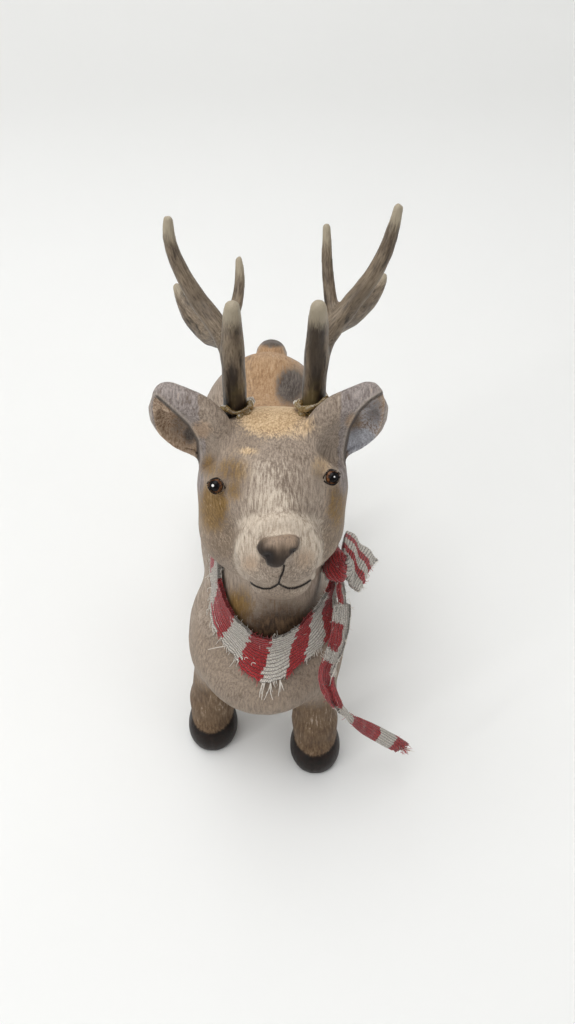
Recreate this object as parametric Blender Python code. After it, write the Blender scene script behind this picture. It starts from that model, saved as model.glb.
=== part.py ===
"""Reindeer figurine: a cast and painted animal, two glued-in antlers and a cloth scarf.

Lengths are in metres and +Z is up. The animal looks along -Y and its left side is at +X.
The sculpt is laid out on a grid of GRID_STEPS equal steps to the height of the figure,
so its pose and its carving are shares of that height.
"""
import math

import bmesh
import bpy
import numpy as np
from mathutils import Matrix, Vector

# Figure
FIGURE_HEIGHT = 0.160
GRID_STEPS = 160.0
MIDPLANE_X = -0.0105
MIDPLANE_Y = -0.0116
BODY_TRIANGLES = 5450
HOOF_RADIUS = 0.0107
LEG_RADIUS = 0.0091
HEAD_WIDTH = 0.0492
MUZZLE_WIDTH = 0.0272
BODY_WIDTH = 0.058

# Antlers and the glue at their feet
ANTLER_RADIUS = 0.0037
ANTLER_DEPTH = 0.0055
ANTLER_TRIANGLES = 900
SOCKET_CLEARANCE = 0.0005
GLUE_RADIUS = 0.0013
GLUE_GAP = 0.0004

# Scarf
SCARF_WIDTH = 0.018
SCARF_THICKNESS = 0.0018
SCARF_GAP = 0.0009
SCARF_TRIANGLES = 1940
FLAP_LENGTH = 0.0165
END_WIDTH = 0.0050

STEP = FIGURE_HEIGHT / GRID_STEPS
FINE = 0.01


def steps(length):
    """Return a length in metres as grid steps."""
    return length / STEP


class Ball:
    """An ellipsoid of the sculpt, in grid steps, blended into or carved out of the rest."""

    def __init__(self, centre, radii, soft, frame=None, carve=False):
        self.centre = np.array(centre, float)
        self.radii = np.array(radii, float)
        self.soft = soft
        self.frame = np.eye(3) if frame is None else np.array(frame, float)
        self.carve = carve

    def placed(self, turn, origin):
        """Return the same ball moved from a local frame into the figure's frame."""
        return Ball(turn @ self.centre + origin, self.radii, self.soft, turn @ self.frame, self.carve)

    def distance(self, points):
        local = (points - self.centre) @ self.frame
        near = np.linalg.norm(local / self.radii, axis=1)
        slope = np.linalg.norm(local / self.radii ** 2, axis=1)
        return near * (near - 1.0) / np.maximum(slope, 1e-9)

    def clay(self, mesh):
        spread = Matrix(self.frame.tolist()).to_4x4() @ Matrix.Diagonal((*self.radii, 1.0))
        place = Matrix.Translation(Vector(self.centre)) @ spread
        bmesh.ops.create_icosphere(mesh, subdivisions=3, radius=1.0, matrix=place)


class Limb:
    """A tapered rod with round ends, in grid steps."""

    def __init__(self, start, end, start_radius, end_radius, soft, carve=False):
        self.start = np.array(start, float)
        self.end = np.array(end, float)
        self.start_radius = start_radius
        self.end_radius = end_radius
        self.soft = soft
        self.carve = carve

    def placed(self, turn, origin):
        """Return the same rod moved from a local frame into the figure's frame."""
        start = turn @ self.start + origin
        end = turn @ self.end + origin
        return Limb(start, end, self.start_radius, self.end_radius, self.soft, self.carve)

    def distance(self, points):
        along = self.end - self.start
        square = along @ along
        drop = self.start_radius - self.end_radius
        side = square - drop * drop
        offset = points - self.start
        low = offset @ along
        high = low - square
        across = np.sum((offset * square - np.outer(low, along)) ** 2, axis=1)
        low_square = low * low * square
        high_square = high * high * square
        turn = np.sign(drop) * drop * drop * across
        wall = (np.sqrt(across * side / square) + low * drop) / square - self.start_radius
        top = np.sqrt(across + high_square) / square - self.end_radius
        foot = np.sqrt(across + low_square) / square - self.start_radius
        near = np.where(np.sign(low) * side * low_square < turn, foot, wall)
        return np.where(np.sign(high) * side * high_square > turn, top, near)

    def clay(self, mesh):
        along = Vector(self.end - self.start)
        aim = along.to_track_quat("Z", "Y").to_matrix().to_4x4()
        middle = Matrix.Translation(Vector((self.start + self.end) / 2.0)) @ aim
        bmesh.ops.create_cone(
            mesh,
            cap_ends=True,
            segments=16,
            radius1=self.start_radius,
            radius2=self.end_radius,
            depth=along.length,
            matrix=middle,
        )
        for point, radius in ((self.start, self.start_radius), (self.end, self.end_radius)):
            place = Matrix.Translation(Vector(point))
            bmesh.ops.create_icosphere(mesh, subdivisions=2, radius=radius, matrix=place)


def blended(first, second, soft):
    """Join two distances with a fillet about as wide as soft."""
    share = np.clip(0.5 + 0.5 * (second - first) / soft, 0.0, 1.0)
    return second * (1.0 - share) + first * share - soft * share * (1.0 - share)


def field(forms, points):
    """Return the distance of each point to the blended forms, in grid steps."""
    total = forms[0].distance(points)
    for form in forms[1:]:
        apart = form.distance(points)
        if form.carve:
            total = -blended(-total, apart, form.soft)
        else:
            total = blended(total, apart, form.soft)
    return total


def slope(forms, points):
    """Return the direction in which the distance grows, at each point."""
    parts = []
    for axis in np.eye(3):
        ahead = field(forms, points + FINE * axis)
        behind = field(forms, points - FINE * axis)
        parts.append((ahead - behind) / (2.0 * FINE))
    return np.stack(parts, axis=1)


def smooth_path(waypoints, count):
    """Return points and radii along a smooth curve through (x, y, z, radius) waypoints."""
    rows = np.array(waypoints, float)
    rows = np.vstack([2 * rows[0] - rows[1], rows, 2 * rows[-1] - rows[-2]])
    spans = len(waypoints) - 1
    path = []
    for value in np.linspace(0.0, spans, count):
        first = min(int(value), spans - 1)
        t = value - first
        a, b, c, d = rows[first : first + 4]
        bend = 2 * a - 5 * b + 4 * c - d
        path.append(0.5 * (2 * b + (c - a) * t + bend * t**2 + (3 * b - a - 3 * c + d) * t**3))
    return np.array(path)


def chain(waypoints, count, soft):
    """Return overlapping limbs that follow a smooth curve."""
    path = smooth_path(waypoints, count)
    limbs = []
    for start, end in zip(path[:-1], path[1:]):
        limbs.append(Limb(start[:3], end[:3], start[3], end[3], 0.2 if limbs else soft))
    return limbs


def axes_from(first, second):
    """Return a rotation whose columns are first, a direction square to it, and second."""
    one = np.array(first, float) / np.linalg.norm(first)
    normal = np.array(second, float) - one * (one @ np.array(second, float))
    normal = normal / np.linalg.norm(normal)
    return np.stack([one, np.cross(normal, one), normal], axis=1)


# Body forms
FEET = {
    "front_left": (19.6, -53.0),
    "front_right": (-24.2, -42.5),
    "hind_left": (20.0, 58.0),
    "hind_right": (-21.5, 66.0),
}
HEAD_CENTRE = np.array((3.2, -36.0, 135.0))
FACE_ROLL = math.radians(1.0)
FACE_TURN = math.radians(5.0)


def torso_forms():
    half = steps(BODY_WIDTH) / 2.0
    return [
        Ball((-0.5, -39.0, 58.5), (half * 0.95, 31.0, 19.5), 7.0),
        Ball((-0.5, 7.5, 81.0), (half * 0.94, 55.5, 33.0), 14.0),
        Ball((-1.0, 54.0, 88.5), (half * 1.03, 36.0, 36.5), 12.0),
        Limb((1.3, -35.0, 74.0), (4.4, -34.5, 120.0), 18.0, 17.2, 6.0),
        Limb((-0.5, -13.0, 93.0), (2.0, -25.0, 122.0), 17.0, 14.5, 8.0),
    ]


def leg_forms():
    leg = steps(LEG_RADIUS)
    hoof = steps(HOOF_RADIUS)
    forms = []
    for name, (x, y) in FEET.items():
        side = math.copysign(1.0, x)
        if name.startswith("front"):
            elbow = (side * 17.6, y * 0.5 - 21.0, 60.0)
            knee = (x * 0.98, y + 2.5, 22.0)
            forms.append(Ball((side * 16.4, y * 0.25 - 26.0, 66.0), (13.0, 18.0, 18.5), 6.0))
            forms.append(Limb(elbow, knee, leg + 0.3, leg - 0.3, 6.0))
        else:
            stifle = (side * 18.5, y * 0.5 + 33.0, 58.0)
            hock = (x, y + 8.0, 36.0)
            forms.append(Ball((side * 17.0, y * 0.3 + 41.0, 76.0), (13.0, 23.0, 31.0), 7.0))
            forms.append(Limb(stifle, hock, leg + 3.2, leg - 0.2, 7.0))
            forms.append(Limb(hock, (x, y + 3.5, 20.0), leg - 0.2, leg - 0.4, 3.0))
        forms.append(Limb((x * 0.98, y + 2.5, 22.0), (x, y + 1.5, 8.0), leg - 0.3, leg + 0.3, 3.0))
        forms.append(Ball((x, y, 5.5), (hoof, hoof * 1.13, hoof * 1.1), 1.6))
    return forms


def head_forms():
    half = steps(HEAD_WIDTH) / 2.0
    snout = steps(MUZZLE_WIDTH) / 2.0
    skull = [
        Ball((0.0, 1.0, 0.5), (half, 23.5, 23.5), 7.0),
        Ball((-0.8, -4.5, -13.3), (half * 0.97, 18.5, 16.5), 6.0),
        Limb((-8.8, 10.0, 13.0), (9.8, 10.0, 13.0), 9.0, 9.0, 6.0),
    ]
    ears = []
    for side, root in ((-1.0, -25.0), (1.0, 22.8)):
        out = axes_from((side * 0.72, 0.12, 0.66), (side * 0.18, -0.97, -0.2))
        cup = axes_from((side * 0.72, 0.12, 0.66), (side * 0.3, -0.9, -0.34))
        ears.append(Ball((root, 5.0, 22.0), (14.6, 13.0, 5.4), 3.0, out))
        ears.append(Limb((root, 5.0, 24.0), (root + side * 6.6, 5.0, 33.0), 5.4, 4.0, 3.0))
        ears.append(Ball((root + side * 1.4, 0.2, 19.4), (11.6, 10.2, 4.9), 1.0, cup, carve=True))
    pad = axes_from((1.0, 0.0, 0.0), (0.0, -0.8, 0.6))
    face = [
        Limb((0.0, -9.0, 9.5), (0.0, -25.0, 2.0), 12.0, 9.5, 4.5),
        Ball((0.0, -25.0, -2.0), (snout, 12.0, 11.0), 2.5),
        Ball((0.3, -22.5, -13.0), (snout * 0.84, 11.5, 10.0), 2.5),
        Ball((-0.6, -34.6, 7.0), (6.3, 4.3, 2.7), 0.8, pad),
        Ball((-1.2, -35.6, 3.6), (2.7, 2.8, 3.0), 0.8, pad),
    ]
    for side in (-1.0, 1.0):
        face.append(Ball((side * 19.6, -13.2, 12.1), (4.6, 4.4, 3.4), 2.5, carve=True))
        face.append(Ball((side * 17.8, -11.2, 12.7), (3.0, 3.0, 2.7), 0.4))
    turn = np.array(Matrix.Rotation(FACE_TURN, 3, "Z") @ Matrix.Rotation(-FACE_ROLL, 3, "Y"))
    level = np.eye(3)
    placed = [form.placed(level, HEAD_CENTRE) for form in skull]
    placed += [form.placed(turn, HEAD_CENTRE) for form in face]
    return placed + [form.placed(level, HEAD_CENTRE) for form in ears]


def tail_forms():
    return [
        Limb((0.5, 82.0, 111.5), (0.5, 89.5, 108.0), 7.0, 6.6, 3.0),
        Limb((0.5, 89.5, 108.0), (0.5, 92.0, 93.0), 6.6, 3.4, 3.0),
    ]


def body_forms():
    return torso_forms() + leg_forms() + head_forms() + tail_forms()


# Antlers, as waypoints of x, y, z and radius in grid steps
def antler_paths(side):
    foot = steps(ANTLER_RADIUS)
    if side == "left":
        root = (16.1, -23.0, 158.0)
        trunk = [
            (16.6, -25.0, 178.0, foot * 0.95),
            (16.7, -28.0, 189.0, foot * 0.81),
            (16.5, -31.0, 196.5, foot * 0.62),
        ]
        beam = [
            (16.9, -24.0, 175.0, 3.0),
            (19.8, -20.0, 181.8, 3.2),
            (27.5, -14.0, 189.5, 2.8),
            (33.6, -11.5, 197.5, 2.4),
            (37.3, -10.0, 206.5, 2.0),
            (39.0, -9.0, 215.4, 1.3),
        ]
        inner = [
            (22.0, -16.0, 184.0, 2.4),
            (20.8, -11.0, 190.1, 1.9),
            (19.8, -6.0, 198.2, 1.6),
            (19.5, -2.0, 207.0, 1.2),
        ]
        rear = [
            (22.0, -15.0, 182.5, 3.2),
            (28.0, -5.0, 180.5, 3.6),
            (34.4, 4.0, 181.0, 2.8),
            (37.7, 9.0, 182.9, 2.0),
            (39.3, 11.5, 185.0, 1.3),
        ]
    else:
        root = (-8.6, -23.0, 158.0)
        trunk = [
            (-8.2, -25.0, 178.0, foot * 0.93),
            (-7.8, -28.0, 189.0, foot * 0.78),
            (-7.3, -31.0, 196.5, foot * 0.59),
        ]
        beam = [
            (-8.6, -24.0, 176.0, 3.0),
            (-11.8, -20.0, 183.0, 3.1),
            (-19.0, -14.0, 190.8, 2.7),
            (-23.9, -11.0, 199.5, 2.2),
            (-25.8, -10.0, 206.5, 1.8),
            (-25.8, -9.0, 212.0, 1.4),
        ]
        inner = [
            (-11.4, -16.0, 181.5, 2.3),
            (-8.2, -9.5, 184.5, 1.9),
            (-6.7, -4.0, 189.9, 1.6),
            (-6.8, 0.0, 196.0, 1.2),
        ]
        rear = [
            (-11.0, -17.0, 179.0, 3.2),
            (-16.8, -7.0, 175.0, 3.6),
            (-23.0, 1.5, 176.0, 2.9),
            (-26.6, 7.5, 179.0, 2.0),
            (-28.3, 10.3, 182.0, 1.3),
        ]
    aim = np.array(trunk[0][:3]) - np.array(root)
    aim = aim / np.linalg.norm(aim)
    deep = np.array(root) - aim * (steps(ANTLER_DEPTH) - foot)
    stem = [(*deep, foot), (*root, foot)]
    return {"root": np.array(root), "aim": aim, "stem": stem + trunk, "tines": [beam, inner, rear]}


def antler_forms(side):
    paths = antler_paths(side)
    forms = chain(paths["stem"], 11, 1.5)
    for tine in paths["tines"]:
        forms += chain(tine, 2 * len(tine), 1.5)
    return forms


# Meshing
def remove_everything():
    for item in list(bpy.data.objects):
        bpy.data.objects.remove(item, do_unlink=True)


def paint(item, colour, roughness):
    material = bpy.data.materials.new(item.name + "_paint")
    material.use_nodes = True
    shader = material.node_tree.nodes["Principled BSDF"]
    shader.inputs["Base Color"].default_value = (*colour, 1.0)
    shader.inputs["Roughness"].default_value = roughness
    shader.inputs["Metallic"].default_value = 0.0
    item.data.materials.clear()
    item.data.materials.append(material)


def new_object(name, data):
    item = bpy.data.objects.new(name, data)
    bpy.context.scene.collection.objects.link(item)
    return item


def evaluated(item):
    """Return the mesh of an object with its modifiers applied, and drop the object."""
    bpy.context.view_layer.update()
    graph = bpy.context.evaluated_depsgraph_get()
    result = bpy.data.meshes.new_from_object(item.evaluated_get(graph))
    bpy.data.objects.remove(item, do_unlink=True)
    return result


def remeshed(data, size):
    item = new_object("clay", data)
    remesh = item.modifiers.new("Remesh", "REMESH")
    remesh.mode = "VOXEL"
    remesh.voxel_size = size
    return evaluated(item)


def snapped(data, forms, rounds):
    """Move each vertex of a mesh, in grid steps, onto the surface of the forms."""
    count = len(data.vertices)
    points = np.empty(count * 3)
    data.vertices.foreach_get("co", points)
    points = points.reshape(count, 3)
    pairs = np.empty(len(data.edges) * 2, int)
    data.edges.foreach_get("vertices", pairs)
    pairs = pairs.reshape(-1, 2)
    degree = np.bincount(pairs.ravel(), minlength=count)[:, None]
    for _ in range(rounds):
        around = np.zeros_like(points)
        np.add.at(around, pairs[:, 0], points[pairs[:, 1]])
        np.add.at(around, pairs[:, 1], points[pairs[:, 0]])
        points = points + 0.5 * (around / degree - points)
        for _ in range(3):
            lean = slope(forms, points)
            size = np.maximum(np.sum(lean**2, axis=1), 0.25)
            points = points - (field(forms, points) / size)[:, None] * lean
    data.vertices.foreach_set("co", points.ravel())
    data.update()
    return data


def sculpted(forms, voxel, triangles):
    """Return the decimated surface of the forms as a mesh in metres."""
    mesh = bmesh.new()
    for form in forms:
        if not form.carve:
            form.clay(mesh)
    data = bpy.data.meshes.new("clay")
    mesh.to_mesh(data)
    mesh.free()
    for size in (voxel * 1.3, voxel):
        data = snapped(remeshed(data, size), forms, 2)
    data.transform(Matrix.Scale(STEP, 4))
    item = new_object("clay", data)
    faces = sum(len(face.vertices) - 2 for face in data.polygons)
    reduce = item.modifiers.new("Decimate", "DECIMATE")
    reduce.ratio = min(1.0, triangles / faces)
    reduce.use_collapse_triangulate = True
    return evaluated(item)


def cut_flat(data, height):
    """Cut the mesh off below a level and close it with flat faces."""
    mesh = bmesh.new()
    mesh.from_mesh(data)
    everything = mesh.verts[:] + mesh.edges[:] + mesh.faces[:]
    cut = bmesh.ops.bisect_plane(
        mesh,
        geom=everything,
        dist=STEP * FINE,
        plane_co=(0.0, 0.0, height),
        plane_no=(0.0, 0.0, 1.0),
        clear_inner=True,
    )
    rim = [part for part in cut["geom_cut"] if isinstance(part, bmesh.types.BMEdge)]
    corners = list({corner for edge in rim for corner in edge.verts})
    bmesh.ops.remove_doubles(mesh, verts=corners, dist=STEP * 0.25)
    rim = [edge for edge in mesh.edges if edge.is_boundary]
    bmesh.ops.holes_fill(mesh, edges=rim, sides=0)
    bmesh.ops.recalc_face_normals(mesh, faces=mesh.faces)
    mesh.to_mesh(data)
    mesh.free()
    return data


def socket_cutter(name, side):
    """Return the round tool that sinks one antler's socket into the head."""
    paths = antler_paths(side)
    floor = steps(ANTLER_DEPTH + SOCKET_CLEARANCE)
    reach = steps(2.5 * ANTLER_DEPTH)
    start = paths["root"] - paths["aim"] * floor
    middle = (start + paths["aim"] * reach / 2.0) * STEP
    aim = Vector(paths["aim"]).to_track_quat("Z", "Y").to_matrix().to_4x4()
    mesh = bmesh.new()
    bmesh.ops.create_cone(
        mesh,
        cap_ends=True,
        segments=24,
        radius1=ANTLER_RADIUS + SOCKET_CLEARANCE,
        radius2=ANTLER_RADIUS + SOCKET_CLEARANCE,
        depth=reach * STEP,
        matrix=Matrix.Translation(Vector(middle)) @ aim,
    )
    data = bpy.data.meshes.new(name)
    mesh.to_mesh(data)
    mesh.free()
    cutter = new_object(name, data)
    cutter.hide_render = True
    cutter.display_type = "WIRE"
    return cutter


def settle(item):
    """Place an object of the figure at the figure's own spot and shade it smooth."""
    item.location = (MIDPLANE_X, MIDPLANE_Y, 0.0)
    item.data.shade_smooth()


def make_body():
    data = cut_flat(sculpted(body_forms(), 1.5, BODY_TRIANGLES), 0.0)
    body = new_object("body", data)
    settle(body)
    paint(body, (0.36, 0.31, 0.27), 0.55)
    for side in ("left", "right"):
        cutter = socket_cutter("socket_tool_" + side, side)
        cutter.location = body.location
        sink = body.modifiers.new("Socket " + side, "BOOLEAN")
        sink.operation = "DIFFERENCE"
        sink.solver = "EXACT"
        sink.object = cutter
    return body


def make_antler(side):
    data = sculpted(antler_forms(side), 0.7, ANTLER_TRIANGLES)
    antler = new_object("antler_" + side, data)
    settle(antler)
    paint(antler, (0.38, 0.34, 0.29), 0.5)
    return antler


def make_glue(side, forms):
    """Lay a lumpy bead where the head and the foot of an antler meet."""
    paths = antler_paths(side)
    aim = Vector(paths["aim"])
    frame = np.array(aim.to_track_quat("Z", "Y").to_matrix())
    bead = steps(GLUE_RADIUS)
    gap = steps(GLUE_GAP)
    spots = 20
    rows = []
    for turn in range(spots):
        angle = 2.0 * math.pi * turn / spots
        girth = bead * (1.0 + 0.22 * math.sin(2.0 * angle + 0.6) + 0.12 * math.sin(5.0 * angle))
        out = frame @ np.array((math.cos(angle), math.sin(angle), 0.0))
        ring = paths["root"] + out * (steps(ANTLER_RADIUS) + gap + girth)
        heights = np.linspace(-4.0, 9.0, 131)
        tries = ring + heights[:, None] * paths["aim"]
        clear = field(forms, tries) - (girth + gap)
        last = max(int(np.max(np.nonzero(clear < 0.0)[0], initial=0)), 0)
        rows.append((*(tries[min(last + 1, len(tries) - 1)] * STEP), girth / bead))
    curve = bpy.data.curves.new("glue_" + side, "CURVE")
    curve.dimensions = "3D"
    curve.bevel_depth = GLUE_RADIUS
    curve.bevel_resolution = 1
    spline = curve.splines.new("POLY")
    spline.points.add(spots - 1)
    spline.use_cyclic_u = True
    for point, (x, y, z, swell) in zip(spline.points, rows):
        point.co = (x, y, z, 1.0)
        point.radius = swell
    source = new_object("glue_path_" + side, curve)
    glue = new_object("glue_" + side, evaluated(source))
    settle(glue)
    paint(glue, (0.62, 0.55, 0.34), 0.2)
    return glue


# Scarf, wound around the neck from the chest up to the nape
NECK_X = 2.0
NECK_Y = -33.0
CHEST_LEVEL = 70.0
NAPE_LEVEL = 100.0
NAPE_RISE = 0.4
CHEST_DIP = 0.03
KNOT_ANGLE = math.radians(285.0)
KNOT_SLACK = 2.9
KNOT_CENTRE = (25.5, -38.5, 100.5)


def band_ray(angle, edge):
    """Return where a ray from inside the neck to the band starts, and its direction."""
    behind = (1.0 - math.cos(angle)) / 2.0
    upper = 1.0 - edge
    chest = CHEST_LEVEL + 0.64 * steps(SCARF_WIDTH) * upper
    nape = NAPE_LEVEL + 0.89 * steps(SCARF_WIDTH) * upper
    bow = 0.6 + 0.15 * upper
    share = ((behind + CHEST_DIP) ** bow - CHEST_DIP**bow) / ((1.0 + CHEST_DIP) ** bow - CHEST_DIP**bow)
    start = np.array((NECK_X, NECK_Y, chest + (nape - chest) * share))
    return start, np.array((-math.sin(angle), -math.cos(angle), NAPE_RISE * behind))


def slack(angle):
    """Return how far the band stands off the neck, more on the side of the knot."""
    away = (angle - KNOT_ANGLE) / math.radians(34.0)
    return steps(SCARF_GAP) + KNOT_SLACK * math.exp(-away * away)


def band_point(forms, angle, edge, lift):
    """Return a point of the band, lift steps outside the neck at an angle and a level."""
    start, out = band_ray(angle, edge)
    reach = np.linspace(6.0, 60.0, 541)
    apart = field(forms, start + reach[:, None] * out)
    inside = np.nonzero(apart < slack(angle) + lift)[0]
    return start + out * reach[min(int(inside[-1]) + 1, len(reach) - 1)]


def lifted_off(forms, points, clearance):
    """Move the points that are nearer to the figure than the clearance straight out to it."""
    for _ in range(6):
        lack = np.maximum(clearance - field(forms, points), 0.0)
        points = points + lack[:, None] * slope(forms, points)
    return points


def grid_solid(mesh, front, back, closed):
    """Build a closed sheet from two equal grids of points, its outer and its inner face."""
    rows, columns = front.shape[:2]
    outer = [[mesh.verts.new(Vector(front[i, j])) for j in range(columns)] for i in range(rows)]
    inner = [[mesh.verts.new(Vector(back[i, j])) for j in range(columns)] for i in range(rows)]
    last = rows if closed else rows - 1
    for i in range(last):
        k = (i + 1) % rows
        for j in range(columns - 1):
            mesh.faces.new((outer[i][j], outer[k][j], outer[k][j + 1], outer[i][j + 1]))
            mesh.faces.new((inner[i][j], inner[i][j + 1], inner[k][j + 1], inner[k][j]))
        mesh.faces.new((outer[i][0], inner[i][0], inner[k][0], outer[k][0]))
        mesh.faces.new((outer[i][-1], outer[k][-1], inner[k][-1], inner[i][-1]))
    if not closed:
        for j in range(columns - 1):
            mesh.faces.new((outer[0][j], outer[0][j + 1], inner[0][j + 1], inner[0][j]))
            mesh.faces.new((outer[-1][j], inner[-1][j], inner[-1][j + 1], outer[-1][j + 1]))


def strip(mesh, centres, sides, width, thickness):
    """Build a closed strip along centre points, with a side direction at each."""
    centres = np.array(centres)
    sides = np.array(sides) / np.linalg.norm(sides, axis=1)[:, None]
    along = np.gradient(centres, axis=0)
    along = along / np.linalg.norm(along, axis=1)[:, None]
    normals = np.cross(along, sides)
    normals = normals / np.linalg.norm(normals, axis=1)[:, None]
    spread = np.linspace(-0.5, 0.5, 4)[None, :, None] * np.array(width)[:, None, None]
    middle = centres[:, None, :] + spread * sides[:, None, :]
    lift = normals[:, None, :] * thickness / 2.0
    grid_solid(mesh, middle + lift, middle - lift, False)


def lay_band(mesh, forms):
    """Lay the ring of cloth around the neck."""
    angles = np.linspace(0.0, 2.0 * math.pi, 72, endpoint=False)
    edges = np.linspace(0.0, 1.0, 7)
    faces = []
    for lift in (steps(SCARF_THICKNESS), 0.0):
        rows = [[band_point(forms, angle, edge, lift) for edge in edges] for angle in angles]
        grid = np.array(rows)
        clear = lifted_off(forms, grid.reshape(-1, 3), steps(SCARF_GAP) + lift)
        faces.append(clear.reshape(grid.shape))
    grid_solid(mesh, faces[0], faces[1], True)


def lay_knot(mesh):
    """Lay the knot and the short end that stands out from it towards the back."""
    Ball(KNOT_CENTRE, (4.6, 5.6, 6.2), 1.0).clay(mesh)
    reach = steps(FLAP_LENGTH)
    knot_x, knot_y, knot_z = KNOT_CENTRE
    centres = []
    sides = []
    for t in np.linspace(-0.25, 1.0, 8):
        level = knot_z - 5.0 - 1.5 * t + 2.0 * math.sin(math.pi * max(t, 0.0))
        centres.append((knot_x + 5.5 + 5.0 * t, knot_y + 0.5 + 0.97 * reach * t, level))
        sides.append((0.6 + 0.05 * t, -0.1, -0.8 + 0.1 * t))
    spread = np.linspace(0.45, 1.0, 8) ** 0.6 * steps(SCARF_WIDTH)
    strip(mesh, centres, sides, spread, steps(SCARF_THICKNESS))


def lay_tail(mesh, forms):
    """Lay the long end, which runs down from the knot, twists and swings out past the hoof."""
    waypoints = [
        (26.0, -41.0, 98.0, 1.4),
        (27.0, -48.0, 90.5, 1.6),
        (25.5, -57.0, 82.5, 1.4),
        (21.5, -66.0, 73.5, 1.2),
        (25.0, -69.5, 63.0, 1.0),
        (31.5, -69.0, 51.0, 1.0),
        (39.5, -66.5, 39.0, 1.0),
        (55.5, -63.0, 18.5, 1.2),
    ]
    count = 44
    path = smooth_path(waypoints, count)
    thickness = steps(SCARF_THICKNESS)
    centres = lifted_off(forms, path[:, :3], steps(SCARF_GAP) + 1.6 * thickness)
    out = slope(forms, centres)
    along = np.gradient(centres, axis=0)
    sides = []
    for number in range(count):
        first = np.cross(along[number], out[number])
        first = first / np.linalg.norm(first)
        second = np.cross(along[number], first)
        second = second / np.linalg.norm(second)
        turn = math.radians(11.0 * max(number - count // 2, 0))
        sides.append(first * math.cos(turn) + second * math.sin(turn))
    strip(mesh, centres, sides, path[:, 3] * steps(END_WIDTH), thickness)


def make_scarf(forms):
    mesh = bmesh.new()
    lay_band(mesh, forms)
    lay_knot(mesh)
    lay_tail(mesh, forms)
    data = bpy.data.meshes.new("scarf")
    mesh.to_mesh(data)
    mesh.free()
    data = remeshed(data, 0.3 * steps(SCARF_THICKNESS))
    data.transform(Matrix.Scale(STEP, 4))
    item = new_object("scarf_clay", data)
    reduce = item.modifiers.new("Decimate", "DECIMATE")
    reduce.ratio = SCARF_TRIANGLES / (2.0 * len(data.polygons))
    reduce.use_collapse_triangulate = True
    scarf = new_object("scarf", evaluated(item))
    settle(scarf)
    paint(scarf, (0.72, 0.42, 0.38), 0.9)
    return scarf


def main():
    remove_everything()
    forms = body_forms()
    make_body()
    for side in ("left", "right"):
        make_antler(side)
        make_glue(side, forms)
    make_scarf(forms)


if __name__ == "__main__":
    main()
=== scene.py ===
"""Reindeer figurine: a painted casting with glued-in antlers and a frayed woven scarf.

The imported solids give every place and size. Lengths in the classes are in millimetres in the
figure's own frame: the animal looks along -Y, its left side is at +X and the soles are at z = 0.
"""
import logging
import math
from dataclasses import dataclass
from enum import Enum

import bmesh
import bpy
import numpy as np
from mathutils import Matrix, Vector
from mathutils.bvhtree import BVHTree


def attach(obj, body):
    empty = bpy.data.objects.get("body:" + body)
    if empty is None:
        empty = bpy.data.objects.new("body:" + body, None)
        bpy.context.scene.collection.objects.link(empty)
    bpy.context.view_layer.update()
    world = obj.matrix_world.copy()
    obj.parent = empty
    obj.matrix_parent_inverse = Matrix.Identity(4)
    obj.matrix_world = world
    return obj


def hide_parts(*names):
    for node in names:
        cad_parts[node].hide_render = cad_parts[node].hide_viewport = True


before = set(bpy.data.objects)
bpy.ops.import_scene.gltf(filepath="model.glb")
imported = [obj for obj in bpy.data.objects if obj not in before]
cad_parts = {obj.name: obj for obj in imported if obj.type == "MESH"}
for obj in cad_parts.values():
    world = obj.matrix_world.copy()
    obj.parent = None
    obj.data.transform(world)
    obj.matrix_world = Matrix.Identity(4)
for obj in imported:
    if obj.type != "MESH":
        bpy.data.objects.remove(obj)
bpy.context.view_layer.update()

MM = 0.001
FIGURE_SPOT = np.array((-10.5, -11.6, 0.0))
CAMERA_SPOT = np.array((8.0, -224.4, 300.0))
CAMERA_PITCH = math.radians(43.0)
CAMERA_LENS = 27.04
FRAME_WIDTH = 575
FRAME_HEIGHT = 1024
SENSOR_WIDTH = 36.0
FAR_OFF = 1e9

logger = logging.getLogger("reindeer")


class Side(Enum):
    """Which side of the animal a piece is on."""

    LEFT = "left"
    RIGHT = "right"


# ---------------------------------------------------------------- geometry helpers


def drawn(points: np.ndarray) -> np.ndarray:
    """Tell where points of the figure fall on the drawing plane of the front view.

    Args:
        points: Points in millimetres in the figure's frame.

    Returns:
        One (across, down) pair for each point, on a sheet of 575 by 1024.
    """
    away = points - CAMERA_SPOT
    depth = away[:, 1] * math.cos(CAMERA_PITCH) - away[:, 2] * math.sin(CAMERA_PITCH)
    rise = away[:, 1] * math.sin(CAMERA_PITCH) + away[:, 2] * math.cos(CAMERA_PITCH)
    focal = CAMERA_LENS / SENSOR_WIDTH * FRAME_HEIGHT
    return np.stack(
        [FRAME_WIDTH / 2.0 + focal * away[:, 0] / depth, FRAME_HEIGHT / 2.0 - focal * rise / depth], axis=1
    )


def eased(value: np.ndarray, low: float, high: float) -> np.ndarray:
    """Return 0 below low and 1 above high, with a smooth step between them."""
    share = np.clip((value - low) / (high - low), 0.0, 1.0)
    return share * share * (3.0 - 2.0 * share)


def blot(points: np.ndarray, centre: tuple, radii: tuple, soft: float = 0.45) -> np.ndarray:
    """Return how far each point lies inside a soft round patch.

    Args:
        points: Points in two or three coordinates.
        centre: The patch's middle.
        radii: Its half sizes along each coordinate.
        soft: The share of the radius over which it fades.

    Returns:
        1 inside the patch and 0 outside it.
    """
    reach = np.linalg.norm((points - np.array(centre)) / np.array(radii), axis=1)
    return 1.0 - eased(reach, 1.0 - soft, 1.0 + soft)


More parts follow.
